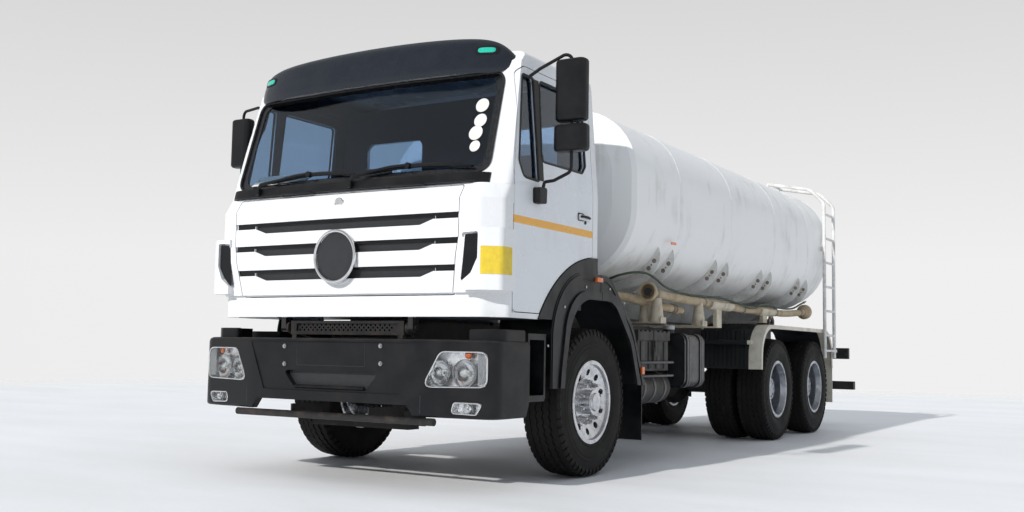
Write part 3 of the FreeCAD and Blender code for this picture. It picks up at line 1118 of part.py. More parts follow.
def make_hose_rack():
    """Arms from the subframe carry tapered posts and two troughs that the hoses lie in."""
    suction = hose(SUCTION, SUCTION_R + HOSE_SEAT)
    delivery = hose(DELIVERY, DELIVERY_R + HOSE_SEAT)
    beam = FRAME_HALF + SLIDE_GAP
    arms = []
    for y in (1330.0, 2260.0):
        arm = box(beam, RACK_X + 40, y - 55, y + 55, RACK_Z - 12, RACK_Z)
        lip = box(RACK_X + 32, RACK_X + 40, y - 55, y + 55, RACK_Z - 12, RACK_Z + 40)
        post = Part.makeCone(62, 38, 200, V(1098, y, RACK_Z)).cut(suction)
        arms.append(arm.fuse([lip, post]))
    low_post = Part.makeCone(50, 30, 150, V(985, 1330, RACK_Z)).cut(delivery)
    arms[0] = arms[0].fuse(low_post)
    # troughs: lower half of a sleeve round the hose
    troughs = ((2490, 3060, 1358, 2670, RACK_Z), (3900, 4350, 1352, 4010, SUB_TOP + 32))
    for y0, y1, z, foot_y, foot_z in troughs:
        sleeve = rod((1098, y0, z), (1098, y1, z), 58)
        sleeve = sleeve.common(box(1000, 1200, y0, y1, z - 60, z + 8)).cut(suction)
        web = box(1080, 1116, foot_y, foot_y + 130, foot_z, z - 50)
        arm = box(beam, 1116, foot_y, foot_y + 130, foot_z - 12, foot_z)
        arms.append(sleeve.fuse([web, arm]))
    # the rear trough's arm steps over the mudguard and stands on the subframe
    arms[-1] = arms[-1].fuse(box(beam, beam + 12, 4010, 4140, 1150, SUB_TOP + 32))
    # pipe stub that the delivery hose and the wash hose are fed from
    end = DELIVERY[-1]
    foot_x, foot_y = 390, 820
    stub = tube([end, (foot_x + 80, foot_y + 5, end[2] + 8), (foot_x, foot_y, end[2] - 40),
                 (foot_x, foot_y, SUB_TOP)],
                [0, 50, 50, 0], DELIVERY_R)
    face = V(*end) - V(*DELIVERY[-2])
    stub = stub.cut(Part.makeCylinder(80, 60, V(*end) - face.normalize() * 60, face))
    stub = stub.fuse(rod((foot_x, foot_y, SUB_TOP), (foot_x, foot_y, SUB_TOP + 14), 39))
    start = V(*WASH[0])
    elbow = start - (V(*WASH[1]) - start).normalize() * 64
    stub = stub.fuse([rod((elbow.x, elbow.y, 1375), tuple(elbow + V(0, 0, 10)), 14),
                      rod(tuple(elbow), WASH[0], 12)])
    save("hose_rack", *[a.removeSplitter() for a in arms], stub.removeSplitter())


def make_ladder():
    x = 1246.0
    rails = []
    for y in (5870.0, 6280.0):
        rails.append(tube([(x, y, 860), (x, y, 2700), (1080, y, 2870), (560, y, 2968), (560, y, 2925)],
                          [0, 110, 160, 20, 0], 20))
    ladder = rails[0].fuse(rails[1])
    for k in range(6):
        z = 1130 + 288 * k
        ladder = ladder.fuse(rod((x, 5870, z), (x, 6280, z), 14))
    ladder = ladder.fuse(rod((600, 5870, 2958), (600, 6280, 2958), 14))
    # stays: a foot on the tank top, brackets to the shell and to the chassis outrigger
    foot = rod((560, 5870, 2700), (560, 5870, 2935), 16).cut(tank_prism(TANK_FRONT, TANK_REAR, SLIDE_GAP))
    stays = [max(foot.Solids, key=lambda s: s.BoundBox.ZMax)]
    stays.append(box(TANK_HALF + SLIDE_GAP, x, 5855, 5885, 2125, 2175))
    behind = AXLE_YS[1] + TYRE_R + 156
    stays.append(box(FRAME_HALF + SLIDE_GAP, x + 10, behind, behind + 36, 930, 966))
    stays.append(box(x - 10, x + 10, 5870, behind + 36, 936, 960))
    save("ladder", ladder.fuse(stays).removeSplitter())


def make_mudguards():
    """One guard over each pair of rear wheels: a strip bent over flat top and rounded ends."""
    y0, y1 = AXLE_YS[0] - 660, AXLE_YS[1] + 650
    top, low, t = 1198.0, 740.0, 7.0
    path_out = [(y0, low), (y0 + 20, top), (y1 - 20, top), (y1, low)]
    outer = side_plate(path_out, [0, 330, 330, 0], 545, 1222)
    path_in = [(y0 + t, low - 1), (y0 + 20 + t, top - t), (y1 - 20 - t, top - t), (y1 - t, low - 1)]
    inner = side_plate(path_in, [0, 330 - t, 330 - t, 0], 540, 1230)
    lip_in = side_plate([(y0 + 40, low - 1), (y0 + 58, top - 40), (y1 - 58, top - 40), (y1 - 40, low - 1)],
                        [0, 300, 300, 0], 1190, 1230)
    guard = outer.cut(inner)
    lip = side_plate(path_out, [0, 330, 330, 0], 1216, 1222).cut(lip_in)
    guard = guard.fuse(lip)
    for y in (y0 - 24, y1 + 24):
        stay = rod((FRAME_HALF + SLIDE_GAP, y, 1010), (1130, y, 1010), 21)
        reach = 80 if y < y1 else -80
        clip = box(900, 940, min(y, y + reach), max(y, y + reach), 990, 1030)
        guard = guard.fuse([stay, clip])
    flap = box(600, 1215, y1 - t, y1 + 2, 330, low + 60)
    guard = guard.fuse(flap)
    save("rear_mudguards", *both_sides(guard.removeSplitter()))


def make_rear_end():
    low = RAIL_TOP - RAIL_H
    end = REAR_END - 350
    board = box(-1190, 1190, end + SLIDE_GAP, end + 70, low + 50, low + 190)
    lamps = []
    for side in (-1, 1):
        x = side * 960
        lamps.append(front_plate([(x - 190, low + 70), (x + 190, low + 70), (x + 190, low + 170),
                                  (x - 190, low + 170)], 12, end + 70 + SLIDE_GAP, end + 105))
    save("tail_lamps", *lamps)
    bar = box(-1190, 1190, REAR_END - 90, REAR_END, 455, 560)
    for side in (-1, 1):
        arm = side_plate([(end - 130, low - SLIDE_GAP), (end + 40, low - SLIDE_GAP), (REAR_END - 60, 560),
                          (REAR_END - 60, 470), (REAR_END - 160, 470)], 0, side * 400 - 8, side * 400 + 8)
        bar = bar.fuse(arm)
    save("rear_bars", board, bar.removeSplitter())
    # tow jaw on the last crossmember
    jaw = box(-110, 110, end + SLIDE_GAP, end + 16, 690, low + 46)
    fork = box(-70, 70, end + 10, end + 190, 690, 780)
    fork = fork.cut(box(-71, 71, end + 70, end + 191, 715, 755))
    fork = fork.cut(rod((0, end + 135, 680), (0, end + 135, 790), 20))
    save("tow_jaw", jaw.fuse(fork).removeSplitter())


def make_water_system():
    z0 = RAIL_TOP + SLIDE_GAP
    base = box(-425, 425, 6420, 7000, z0, z0 + 14)
    pump = rod((-160, 6720, 1290), (130, 6720, 1290), 155)
    volute_neck = rod((0, 6720, 1400), (0, 6720, 1640), 60)
    foot = box(-110, 90, 6640, 6800, z0 + 10, 1200)
    inlet = tube([(0, TANK_REAR + 160 + SLIDE_GAP, 1640), (0, 6720, 1640), (0, 6720, 1400)], [0, 110, 0], 60)
    flange = rod((0, TANK_REAR + 160 + SLIDE_GAP, 1640), (0, TANK_REAR + 178, 1640), 105)
    outlet = rod((80, 6720, 1290), (330, 6720, 1290), 56)
    face = rod((312, 6720, 1290), (330, 6720, 1290), 110)
    unit = base.fuse([pump, foot, inlet, flange, outlet, face])
    unit = unit.cut(rod((200, 6720, 1290), (340, 6720, 1290), 50))
    for k in range(8):
        a = math.radians(22.5 + 45 * k)
        y, z = 6720 + 90 * math.cos(a), 1290 + 90 * math.sin(a)
        unit = unit.cut(rod((300, y, z), (340, y, z), 9))
    save("water_pump", unit.removeSplitter())
    end = REAR_END - 350
    bar = rod((-900, end + 200, 905), (900, end + 200, 905), 40)
    for side in (-1, 1):
        bar = bar.fuse(box(side * 300 - 10, side * 300 + 10, end + 70 + SLIDE_GAP, end + 200, 890, 920))
    for k in range(9):
        x = -800 + 200 * k
        nozzle = Part.makeCone(16, 34, 60, V(x, end + 210, 905), V(0, 1, -0.35))
        bar = bar.fuse(nozzle)
    save("spray_bar", bar.removeSplitter())


if __name__ == "__main__":
    make_front_wheels()
    make_rear_wheels()
    make_front_axle()
    make_steering()
    make_springs()
    make_rear_axles()
    make_chassis()
    make_bumper()
    make_front_steelwork()
    cab_outer = make_cab()
    make_flap(cab_outer)
    make_windows(cab_outer)
    door, panes = make_doors(cab_outer)
    mirrors = make_mirrors()
    for side, place, glasses in (("left", lambda s: s, mirrors[0]), ("right", mirror, mirrors[1])):
        save("door_" + side, place(door))
        save("door_glass_" + side, *[place(p) for p in panes])
        save("mirror_" + side, glasses)
    make_cab_fittings()
    make_step_boxes(make_arches())
    make_interior()
    make_cab_trim()
    make_power_unit()
    make_side_equipment()
    make_tank()
    make_manhole_neck()
    make_manhole_lid()
    make_saddles()
    make_subframe()
    make_hoses()
    make_hose_rack()
    make_ladder()
    make_mudguards()
    make_rear_end()
    make_water_system()
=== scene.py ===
import math

import bmesh
import bpy
from mathutils import Matrix, Vector


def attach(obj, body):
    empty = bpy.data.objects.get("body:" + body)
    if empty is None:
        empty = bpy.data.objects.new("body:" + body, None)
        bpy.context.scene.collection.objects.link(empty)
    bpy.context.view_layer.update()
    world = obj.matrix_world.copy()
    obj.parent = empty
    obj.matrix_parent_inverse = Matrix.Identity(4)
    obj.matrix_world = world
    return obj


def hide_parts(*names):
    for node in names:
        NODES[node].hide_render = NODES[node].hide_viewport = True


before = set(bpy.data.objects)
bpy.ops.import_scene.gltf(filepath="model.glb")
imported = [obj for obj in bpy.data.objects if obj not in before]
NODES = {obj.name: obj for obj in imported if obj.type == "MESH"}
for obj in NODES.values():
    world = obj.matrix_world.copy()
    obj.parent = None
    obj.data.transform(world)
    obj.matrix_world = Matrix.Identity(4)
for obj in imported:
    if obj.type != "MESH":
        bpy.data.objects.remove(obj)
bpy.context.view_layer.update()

# Looks of a three-axle water tanker truck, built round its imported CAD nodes. Materials, world and camera
# are in metres of the row frame. Shapes and routes are in millimetres, with y counted from the front axle.
FRONT_AXLE = -3.0               # its y in the row frame


# ---- materials ------------------------------------------------------------------------------------
class Surface:
    """One material's node tree, built by short calls."""

    def __init__(self, name, colour=(0.8, 0.8, 0.8), rough=0.5, metal=0.0, **sockets):
        self.material = bpy.data.materials.new(name)
        self.material.use_nodes = True
        self.tree = self.material.node_tree
        self.shader = self.tree.nodes["Principled BSDF"]
        self.place = self.node("ShaderNodeTexCoord").outputs["Object"]
        self.put("Base Color", colour)
        self.put("Roughness", rough)
        self.put("Metallic", metal)
        for key, value in sockets.items():
            self.put(key.replace("_", " "), value)

    def node(self, kind, links=(), **settings):
        made = self.tree.nodes.new(kind)
        for key, value in settings.items():
            setattr(made, key, value)
        for key, value in dict(links).items():
            self.feed(made.inputs[key], value)
        return made

    def feed(self, socket, value):
        if isinstance(value, bpy.types.NodeSocket):
            self.tree.links.new(value, socket)
        elif socket.type == "RGBA" and len(value) == 3:
            socket.default_value = (*value, 1.0)
        else:
            socket.default_value = value

    def put(self, name, value):
        self.feed(self.shader.inputs[name], value)

    def stretched(self, scale, turn=(0, 0, 0)):
        links = {"Vector": self.place, "Scale": scale, "Rotation": turn}
        return self.node("ShaderNodeMapping", links).outputs["Vector"]

    def noise(self, scale, detail=4.0, roughness=0.55, at=None, warp=0.0):
        links = {"Vector": at or self.place, "Scale": scale, "Detail": detail,
                 "Roughness": roughness, "Distortion": warp}
        return self.node("ShaderNodeTexNoise", links).outputs["Fac"]

    def ramp(self, value, low, high, start=0.0, end=1.0):
        links = {"Value": value, "From Min": low, "From Max": high, "To Min": start, "To Max": end}
        return self.node("ShaderNodeMapRange", links, interpolation_type="SMOOTHSTEP").outputs["Result"]

    def math(self, operation, a, b=0.0, clamp=False):
        made = self.node("ShaderNodeMath", operation=operation, use_clamp=clamp)
        self.feed(made.inputs[0], a)
        self.feed(made.inputs[1], b)
        return made.outputs[0]

    def times(self, a, b):
        return self.math("MULTIPLY", a, b)

    def plus(self, a, b, clamp=False):
        return self.math("ADD", a, b, clamp)

    def minus(self, a, b):
        return self.math("SUBTRACT", a, b)

    def mix(self, share, a, b):
        made = self.node("ShaderNodeMix", data_type="RGBA")
        self.feed(made.inputs[0], share)
        self.feed(made.inputs[6], a)
        self.feed(made.inputs[7], b)
        return made.outputs[2]

    def axis(self, letter, of=None):
        made = self.node("ShaderNodeSeparateXYZ", {"Vector": of or self.place})
        return made.outputs[letter]

    def facing(self, letter):
        normal = self.node("ShaderNodeNewGeometry").outputs["Normal"]
        return self.axis(letter, normal)

    def bump(self, height, strength, distance):
        links = {"Height": height, "Strength": strength, "Distance": distance}
        self.put("Normal", self.node("ShaderNodeBump", links).outputs["Normal"])

    def band(self, letter, low, high, soft=0.002):
        """1 between low and high along an axis."""
        along = self.axis(letter)
        up = self.ramp(along, low - soft, low + soft)
        down = self.ramp(along, high - soft, high + soft, 1.0, 0.0)
        return self.times(up, down)


def cab_room(s):
    """1 inside the cab's walls, 0 on its outer faces: by half width, front line, rear wall and roof."""
    height = s.axis("Z")
    beside = s.math("ABSOLUTE", s.axis("X"))
    above_waist = s.math("MAXIMUM", s.minus(height, 2.0), 0.0)
    half = s.minus(1.197, s.times(above_waist, 0.0785))
    within = s.ramp(s.minus(half, beside), 0.0, 0.004)
    lean = s.times(s.math("MAXIMUM", s.minus(height, 1.94), 0.0), 0.30)
    swept = s.times(s.math("MAXIMUM", s.minus(beside, 1.05), 0.0), 0.9)
    line = s.plus(s.plus(lean, swept), s.times(beside, 0.07))
    behind = s.minus(s.minus(s.axis("Y"), line), FRONT_AXLE - 1.355)
    behind = s.ramp(behind, 0.0, 0.004)
    ahead = s.ramp(s.axis("Y"), FRONT_AXLE - 0.040, FRONT_AXLE - 0.034, 1.0, 0.0)
    under = s.ramp(height, 2.835, 2.845, 1.0, 0.0)
    return s.times(s.times(within, behind), s.times(ahead, under))


def white_paint(name, colour=(0.86, 0.87, 0.88), stripe=False, streaks=0.10, low_dirt=0.25, rough=0.24,
                dirt_top=1.35, room_trim_and_shade=False):
    """White coach enamel: gloss with faint ripple, road film low down and thin streaks."""
    s = Surface(name, colour, rough, Coat_Weight=0.2, Coat_Roughness=0.1)
    film = s.noise(2.2, 6.0, 0.6)
    runs = s.noise(1.0, 5.0, 0.6, at=s.stretched((9.0, 9.0, 0.7)))
    streak = s.ramp(s.times(runs, film), 0.25, 0.42, 0.0, streaks)
    height = s.axis("Z")
    low = s.ramp(height, 0.9, dirt_top, low_dirt, 0.0)
    low = s.times(low, s.ramp(film, 0.3, 0.65))
    base = s.mix(streak, colour, (0.42, 0.38, 0.32))
    if stripe:
        mask = s.band("Z", 1.700, 1.750)
        outer = s.ramp(s.math("ABSOLUTE", s.axis("X")), 1.19, 1.192)
        worn = s.ramp(s.noise(60.0), 0.30, 0.38, 0.75, 1.0)
        mask = s.times(s.times(mask, outer), worn)
        base = s.mix(mask, base, (0.86, 0.42, 0.035))
    base = s.mix(low, base, (0.30, 0.26, 0.21))
    gloss = s.ramp(film, 0.3, 0.7, rough - 0.04, rough + 0.10)
    gloss = s.plus(gloss, s.times(low, 0.8), True)
    # Inner faces of the cab turn dark navy: partly the trim's own tone, partly painted shade inside the cab.
    if room_trim_and_shade:
        inside = cab_room(s)
        base = s.mix(inside, base, s.mix(film, (0.022, 0.034, 0.056), (0.036, 0.052, 0.080)))
        gloss = s.plus(gloss, s.times(inside, 0.5), True)
        # Below 1.09 m, under the cab's floor, the paint turns near-black.
        base = s.mix(s.ramp(height, 1.090, 1.094, 1.0, 0.0), base, (0.012, 0.012, 0.013))
    s.put("Base Color", base)
    s.put("Roughness", gloss)
    s.bump(s.noise(5.0, 2.0), 0.05, 0.01)
    return s.material


def moulded_black(name, colour=(0.018, 0.019, 0.021), dust=0.25, rough=0.42, grain=420.0, shine=0.3):
    """Black moulded plastic or enamel: fine grain, grey road dust on what faces up and low down."""
    s = Surface(name, colour, rough, Specular_IOR_Level=shine)
    cloud = s.noise(6.0, 8.0, 0.65)
    up = s.ramp(s.facing("Z"), 0.1, 0.9)
    share = s.times(s.ramp(cloud, 0.35, 0.75), dust)
    share = s.plus(share, s.times(up, s.times(cloud, dust)), True)
    s.put("Base Color", s.mix(share, colour, (0.20, 0.185, 0.165)))
    s.put("Roughness", s.ramp(cloud, 0.3, 0.75, rough, rough + 0.28))
    s.bump(s.noise(grain, 2.0), 0.12, 0.002)
    return s.material


def painted_steel(name, colour, dirt=(0.16, 0.13, 0.10), share=0.5, rough=0.5, metal=0.0, rust=0.0,
                  scale=7.0):
    """Paint on steel with clouds of dirt, and rust where rust is above 0."""
    s = Surface(name, colour, rough, metal)
    cloud = s.noise(scale, 8.0, 0.65, warp=0.4)
    patch = s.noise(scale * 3.1, 6.0, 0.7)
    base = s.mix(s.ramp(cloud, 0.42, 0.72, 0.0, share), colour, dirt)
    if rust:
        spot = s.ramp(patch, 0.52, 0.66, 0.0, rust)
        base = s.mix(spot, base, (0.24, 0.10, 0.045))
    s.put("Base Color", base)
    s.put("Roughness", s.ramp(cloud, 0.3, 0.7, rough - 0.05, min(1.0, rough + 0.25)))
    s.bump(patch, 0.10, 0.003)
    return s.material


def rubber(name, colour=(0.016, 0.016, 0.017), dust=0.35):
    """Tyre rubber: matt, with clouds of dust."""
    s = Surface(name, colour, 0.72, Specular_IOR_Level=0.2)
    cloud = s.noise(9.0, 8.0, 0.7)
    share = s.ramp(cloud, 0.38, 0.8, 0.02, dust)
    s.put("Base Color", s.mix(share, colour, (0.17, 0.155, 0.135)))
    s.put("Roughness", s.ramp(cloud, 0.3, 0.8, 0.62, 0.9))
    s.bump(s.noise(240.0, 3.0), 0.25, 0.001)
    return s.material


def polished(name, colour=(0.78, 0.79, 0.80), rough=0.12, grime=0.15):
    """Bright metal with a little grime."""
    s = Surface(name, colour, rough, 1.0)
    cloud = s.noise(14.0, 6.0, 0.65)
    s.put("Base Color", s.mix(s.ramp(cloud, 0.45, 0.75, 0.0, grime), colour, (0.20, 0.17, 0.14)))
    s.put("Roughness", s.ramp(cloud, 0.3, 0.8, rough, rough + 0.22))
    return s.material


def clear(name, colour, rough=0.02, haze=0.0):
    """Glass or clear plastic with a thin film of dust."""
    s = Surface(name, colour, rough, Transmission_Weight=1.0, IOR=1.45)
    cloud = s.noise(3.0, 8.0, 0.7)
    s.put("Roughness", s.ramp(cloud, 0.45, 0.8, rough, rough + haze))
    return s.material


def cloth(name, colour, second, scale=900.0):
    """Seat cloth: a fine weave of two colours."""
    s = Surface(name, colour, 0.9, Sheen_Weight=0.2)
    weave = s.noise(scale, 2.0)
    s.put("Base Color", s.mix(s.ramp(weave, 0.4, 0.6), colour, second))
    s.bump(weave, 0.4, 0.001)
    return s.material


def mesh_metal(name, colour=(0.012, 0.013, 0.015), line=(0.045, 0.047, 0.05), pitch=90.0):
    """Dark expanded mesh: thin crossing strands over a black hollow."""
    s = Surface(name, colour, 0.5)
    turned = s.stretched((pitch, pitch, pitch), (0, math.radians(45), 0))
    cell = s.node("ShaderNodeTexChecker", {"Vector": turned, "Scale": 1.0}).outputs["Fac"]
    across = s.math("ABSOLUTE", s.minus(s.math("FRACT", s.axis("X", turned)), 0.5))
    upward = s.math("ABSOLUTE", s.minus(s.math("FRACT", s.axis("Z", turned)), 0.5))
    strand = s.ramp(s.math("MAXIMUM", across, upward), 0.34, 0.40)
    cloud = s.plus(s.noise(20.0), s.times(cell, 0.05))
    shade = s.times(strand, s.ramp(cloud, 0.2, 0.7, 0.6))
    s.put("Base Color", s.mix(shade, colour, line))
    s.bump(strand, 0.4, 0.003)
    return s.material


def guard_paint(name):
    """Rear mudguard: black, with a cream band along its outer edge."""
    s = Surface(name, (0.01, 0.011, 0.013), 0.4)
    cloud = s.noise(7.0, 8.0, 0.65)
    edge = s.ramp(s.math("ABSOLUTE", s.axis("X")), 1.085, 1.089)
    cream = s.mix(s.ramp(cloud, 0.4, 0.75, 0.0, 0.5), (0.70, 0.66, 0.56), (0.30, 0.25, 0.18))
    black = s.mix(s.ramp(cloud, 0.4, 0.8, 0.0, 0.10), (0.007, 0.009, 0.012), (0.09, 0.08, 0.07))
    s.put("Base Color", s.mix(edge, black, cream))
    s.put("Roughness", s.ramp(cloud, 0.3, 0.75, 0.35, 0.6))
    s.bump(s.noise(200.0, 2.0), 0.1, 0.002)
    return s.material


def plain_enamel(name, colour, second, rough=0.35, scale=30.0, coat=0.0):
    """Small painted or printed pieces: two near shades in faint clouds."""
    s = Surface(name, colour, rough, Coat_Weight=coat)
    cloud = s.noise(scale, 6.0, 0.65)
    s.put("Base Color", s.mix(s.ramp(cloud, 0.35, 0.7), colour, second))
    s.put("Roughness", s.ramp(cloud, 0.3, 0.7, rough, rough + 0.15))
    return s.material


MATERIALS = {
    "mesh_black": mesh_metal("mesh_black"),
    "seal_rubber": plain_enamel("seal_rubber", (0.012, 0.012, 0.013), (0.030, 0.029, 0.028), 0.55),
    "frit": plain_enamel("frit", (0.010, 0.011, 0.013), (0.018, 0.020, 0.024), 0.12),
    "paper": plain_enamel("paper", (0.74, 0.74, 0.72), (0.64, 0.64, 0.60), 0.7),
    "clock_face": plain_enamel("clock_face", (0.02, 0.02, 0.022), (0.05, 0.05, 0.055), 0.3),
    "plate_yellow": plain_enamel("plate_yellow", (0.80, 0.60, 0.045), (0.70, 0.50, 0.05), 0.4, 22.0),
    "gloss_black": moulded_black("gloss_black", (0.010, 0.012, 0.014), 0.08, 0.22, 420.0, 0.5),
    "strap_black": plain_enamel("strap_black", (0.016, 0.016, 0.017), (0.05, 0.047, 0.042), 0.6, 60.0),
    "lens_amber": plain_enamel("lens_amber", (0.80, 0.17, 0.015), (0.62, 0.10, 0.01), 0.15, 160.0, 0.6),
    "lens_white": plain_enamel("lens_white", (0.62, 0.64, 0.66), (0.50, 0.52, 0.55), 0.12, 60.0, 0.5),
    "lens_teal": plain_enamel("lens_teal", (0.01, 0.42, 0.30), (0.02, 0.55, 0.42), 0.12, 120.0, 0.4),
    "lamp_inside": painted_steel("lamp_inside", (0.86, 0.87, 0.90), (0.55, 0.57, 0.60),
                                 0.3, 0.16, 0.85, 0.0, 18.0),
    "bulb_glass": plain_enamel("bulb_glass", (0.75, 0.76, 0.74), (0.60, 0.62, 0.62), 0.1, 90.0, 0.8),
    "chrome": polished("chrome", (0.80, 0.81, 0.82), 0.10, 0.25),
    "mirror_silver": polished("mirror_silver", (0.88, 0.90, 0.93), 0.03, 0.05),
    "bright_steel": painted_steel("bright_steel", (0.52, 0.53, 0.54), (0.16, 0.14, 0.12),
                                  0.4, 0.30, 0.85, 0.1, 40.0),
    "rusty_steel": painted_steel("rusty_steel", (0.30, 0.27, 0.24), (0.16, 0.11, 0.07),
                                 0.6, 0.55, 0.5, 0.6, 30.0),
    "band_steel": painted_steel("band_steel", (0.10, 0.10, 0.105), (0.16, 0.14, 0.12),
                                0.4, 0.38, 0.5, 0.15, 20.0),
    "cab_white": white_paint("cab_white", (0.80, 0.81, 0.82), room_trim_and_shade=True),
    "door_white": white_paint("door_white", (0.78, 0.80, 0.83), stripe=True, room_trim_and_shade=True),
    "tank_white": white_paint("tank_white", (0.90, 0.90, 0.89),
                              streaks=0.30, low_dirt=0.5, rough=0.36, dirt_top=1.9),
    "plastic": moulded_black("plastic", (0.0045, 0.005, 0.0065), 0.05, 0.34),
    "arch_black": moulded_black("arch_black", (0.005, 0.006, 0.0075), 0.06, 0.28),
    "visor_black": moulded_black("visor_black", (0.006, 0.010, 0.018), 0.02, 0.16, 420.0, 0.5),
    "chassis_black": painted_steel("chassis_black", (0.010, 0.010, 0.011), (0.07, 0.06, 0.05), rust=0.08),
    "rubber": rubber("rubber", (0.006, 0.006, 0.0065), 0.09),
    "rim_front": painted_steel("rim_front", (0.62, 0.63, 0.66), (0.10, 0.09, 0.09),
                               0.35, 0.20, 1.0, 0.04, 16.0),
    "rim_rear": painted_steel("rim_rear", (0.42, 0.45, 0.50), (0.12, 0.10, 0.08),
                              0.5, 0.28, 0.95, 0.15, 12.0),
    "cast": painted_steel("cast", (0.09, 0.085, 0.08), (0.20, 0.15, 0.11), 0.6, 0.7, 0.3, 0.5),
    "galvanised": painted_steel("galvanised", (0.62, 0.63, 0.64), (0.25, 0.22, 0.19), 0.3, 0.45, 0.6),
    "white_steel": painted_steel("white_steel", (0.78, 0.78, 0.76), (0.32, 0.27, 0.21), 0.5, 0.42, 0.0, 0.2),
    "guard": guard_paint("guard"),
    "cream_steel": painted_steel("cream_steel", (0.62, 0.56, 0.44), (0.28, 0.21, 0.14), 0.6, 0.5, 0.0, 0.3),
    "glass": clear("glass", (0.40, 0.52, 0.66), 0.01, 0.02),
    "lens": clear("lens", (0.93, 0.95, 0.96), 0.02, 0.05),
    "red_lens": clear("red_lens", (0.62, 0.02, 0.02), 0.08),
    "trim": moulded_black("trim", (0.030, 0.044, 0.068), 0.05, 0.55, 300.0),
    "seat": cloth("seat", (0.030, 0.045, 0.075), (0.06, 0.08, 0.12)),
    "hose_cream": painted_steel("hose_cream", (0.47, 0.37, 0.24), (0.20, 0.14, 0.08), 0.6, 0.6),
    "hose_green": painted_steel("hose_green", (0.020, 0.045, 0.022), (0.10, 0.09, 0.07), 0.4, 0.5),
    "fitting": painted_steel("fitting", (0.50, 0.40, 0.26), (0.22, 0.16, 0.10), 0.5, 0.5, 0.2, 0.2),
}

FINISH = {
    "cab_white": ["cab_shell", "front_flap", "corner_flares"],
    "door_white": ["door_left", "door_right"],
    "tank_white": ["tank_barrel", "manhole_neck", "manhole_lid"],
    "white_steel": ["tank_saddles", "ladder"],
    "guard": ["rear_mudguards"],
    "cream_steel": ["hose_rack"],
    "plastic": ["front_bumper", "mirror_left", "mirror_right", "wipers"],
    "arch_black": ["front_arches", "rear_arches_and_steps"],
    "visor_black": ["visor_and_cowl"],
    "chassis_black": ["chassis_frame", "front_axle", "leaf_springs", "rear_axles", "knuckle_left",
                      "knuckle_right", "tie_rod", "front_steelwork", "tank_subframe", "battery_box",
                      "air_reservoirs", "rear_bars", "tow_jaw"],
    "cast": ["power_train", "silencer", "water_pump", "spray_bar"],
    "gloss_black": ["fuel_tank"],
    "rubber": [n for n in NODES if n.startswith("tyre")],
    "rim_front": ["rim_front_left", "rim_front_right"],
    "rim_rear": ["rims_mid_left", "rims_mid_right", "rims_rear_left", "rims_rear_right"],
    "glass": ["cab_glass", "door_glass_left", "door_glass_right"],
    "lens": ["front_lamps"],
    "red_lens": ["tail_lamps"],
    "trim": ["cab_interior", "steering_wheel"],
    "fitting": ["hose_fittings"],
}


def wear(thing, material):
    """Gives a thing one material in place of its own."""
    thing.data.materials.clear()
    thing.data.materials.append(MATERIALS[material])


for finish, names in FINISH.items():
    for name in names:
        wear(NODES[name], finish)


# ---- shape helpers --------------------------------------------------------------------------------
def rounded(points, radii, steps=6):
    """Closed outline with its corners rounded: radii is one number or one for each corner."""
    count = len(points)
    radii = radii if isinstance(radii, (list, tuple)) else [radii] * count
    out = []
    for i, (p, r) in enumerate(zip(points, radii)):
        a, b = Vector(points[i - 1]) - Vector(p), Vector(points[(i + 1) % count]) - Vector(p)
        angle = a.angle(b)
        if r <= 0 or angle > 3.13:
            out.append(tuple(p))
            continue
        cut = min(r / math.tan(angle / 2), 0.49 * a.length, 0.49 * b.length)
        start, end = Vector(p) + a.normalized() * cut, Vector(p) + b.normalized() * cut
        for k in range(steps + 1):
            t = k / steps
            out.append(tuple(start.lerp(Vector(p), t).lerp(Vector(p).lerp(end, t), t)))
    return out


def spread(outline, step):
    """Closed outline with points added along its sides, about a step apart."""
    out = []
    for (a0, b0), (a1, b1) in zip(outline, outline[1:] + outline[:1]):
        count = max(1, int(math.hypot(a1 - a0, b1 - b0) / step))
        out += [(a0 + (a1 - a0) * k / count, b0 + (b1 - b0) * k / count) for k in range(count)]
    return out


def circle(centre, side, other, r, n):
    """Ring of n points about a centre, in the plane of two unit vectors."""
    turns = [2 * math.pi * k / n for k in range(n)]
    return [tuple(centre + r * (math.cos(a) * side + math.sin(a) * other)) for a in turns]


def around(a, b, r, count, first=0.0):
    """Places evenly round a circle; first turns them by a share of their pitch."""
    turns = [2 * math.pi * (k + first) / count for k in range(count)]
    return [(a + r * math.sin(turn), b + r * math.cos(turn)) for turn in turns]


WELD = 0.00002


def metres(point):
    """A point of a shape or a route in the row frame."""
    x, y, z = point
    return x / 1000, y / 1000 + FRONT_AXLE, z / 1000


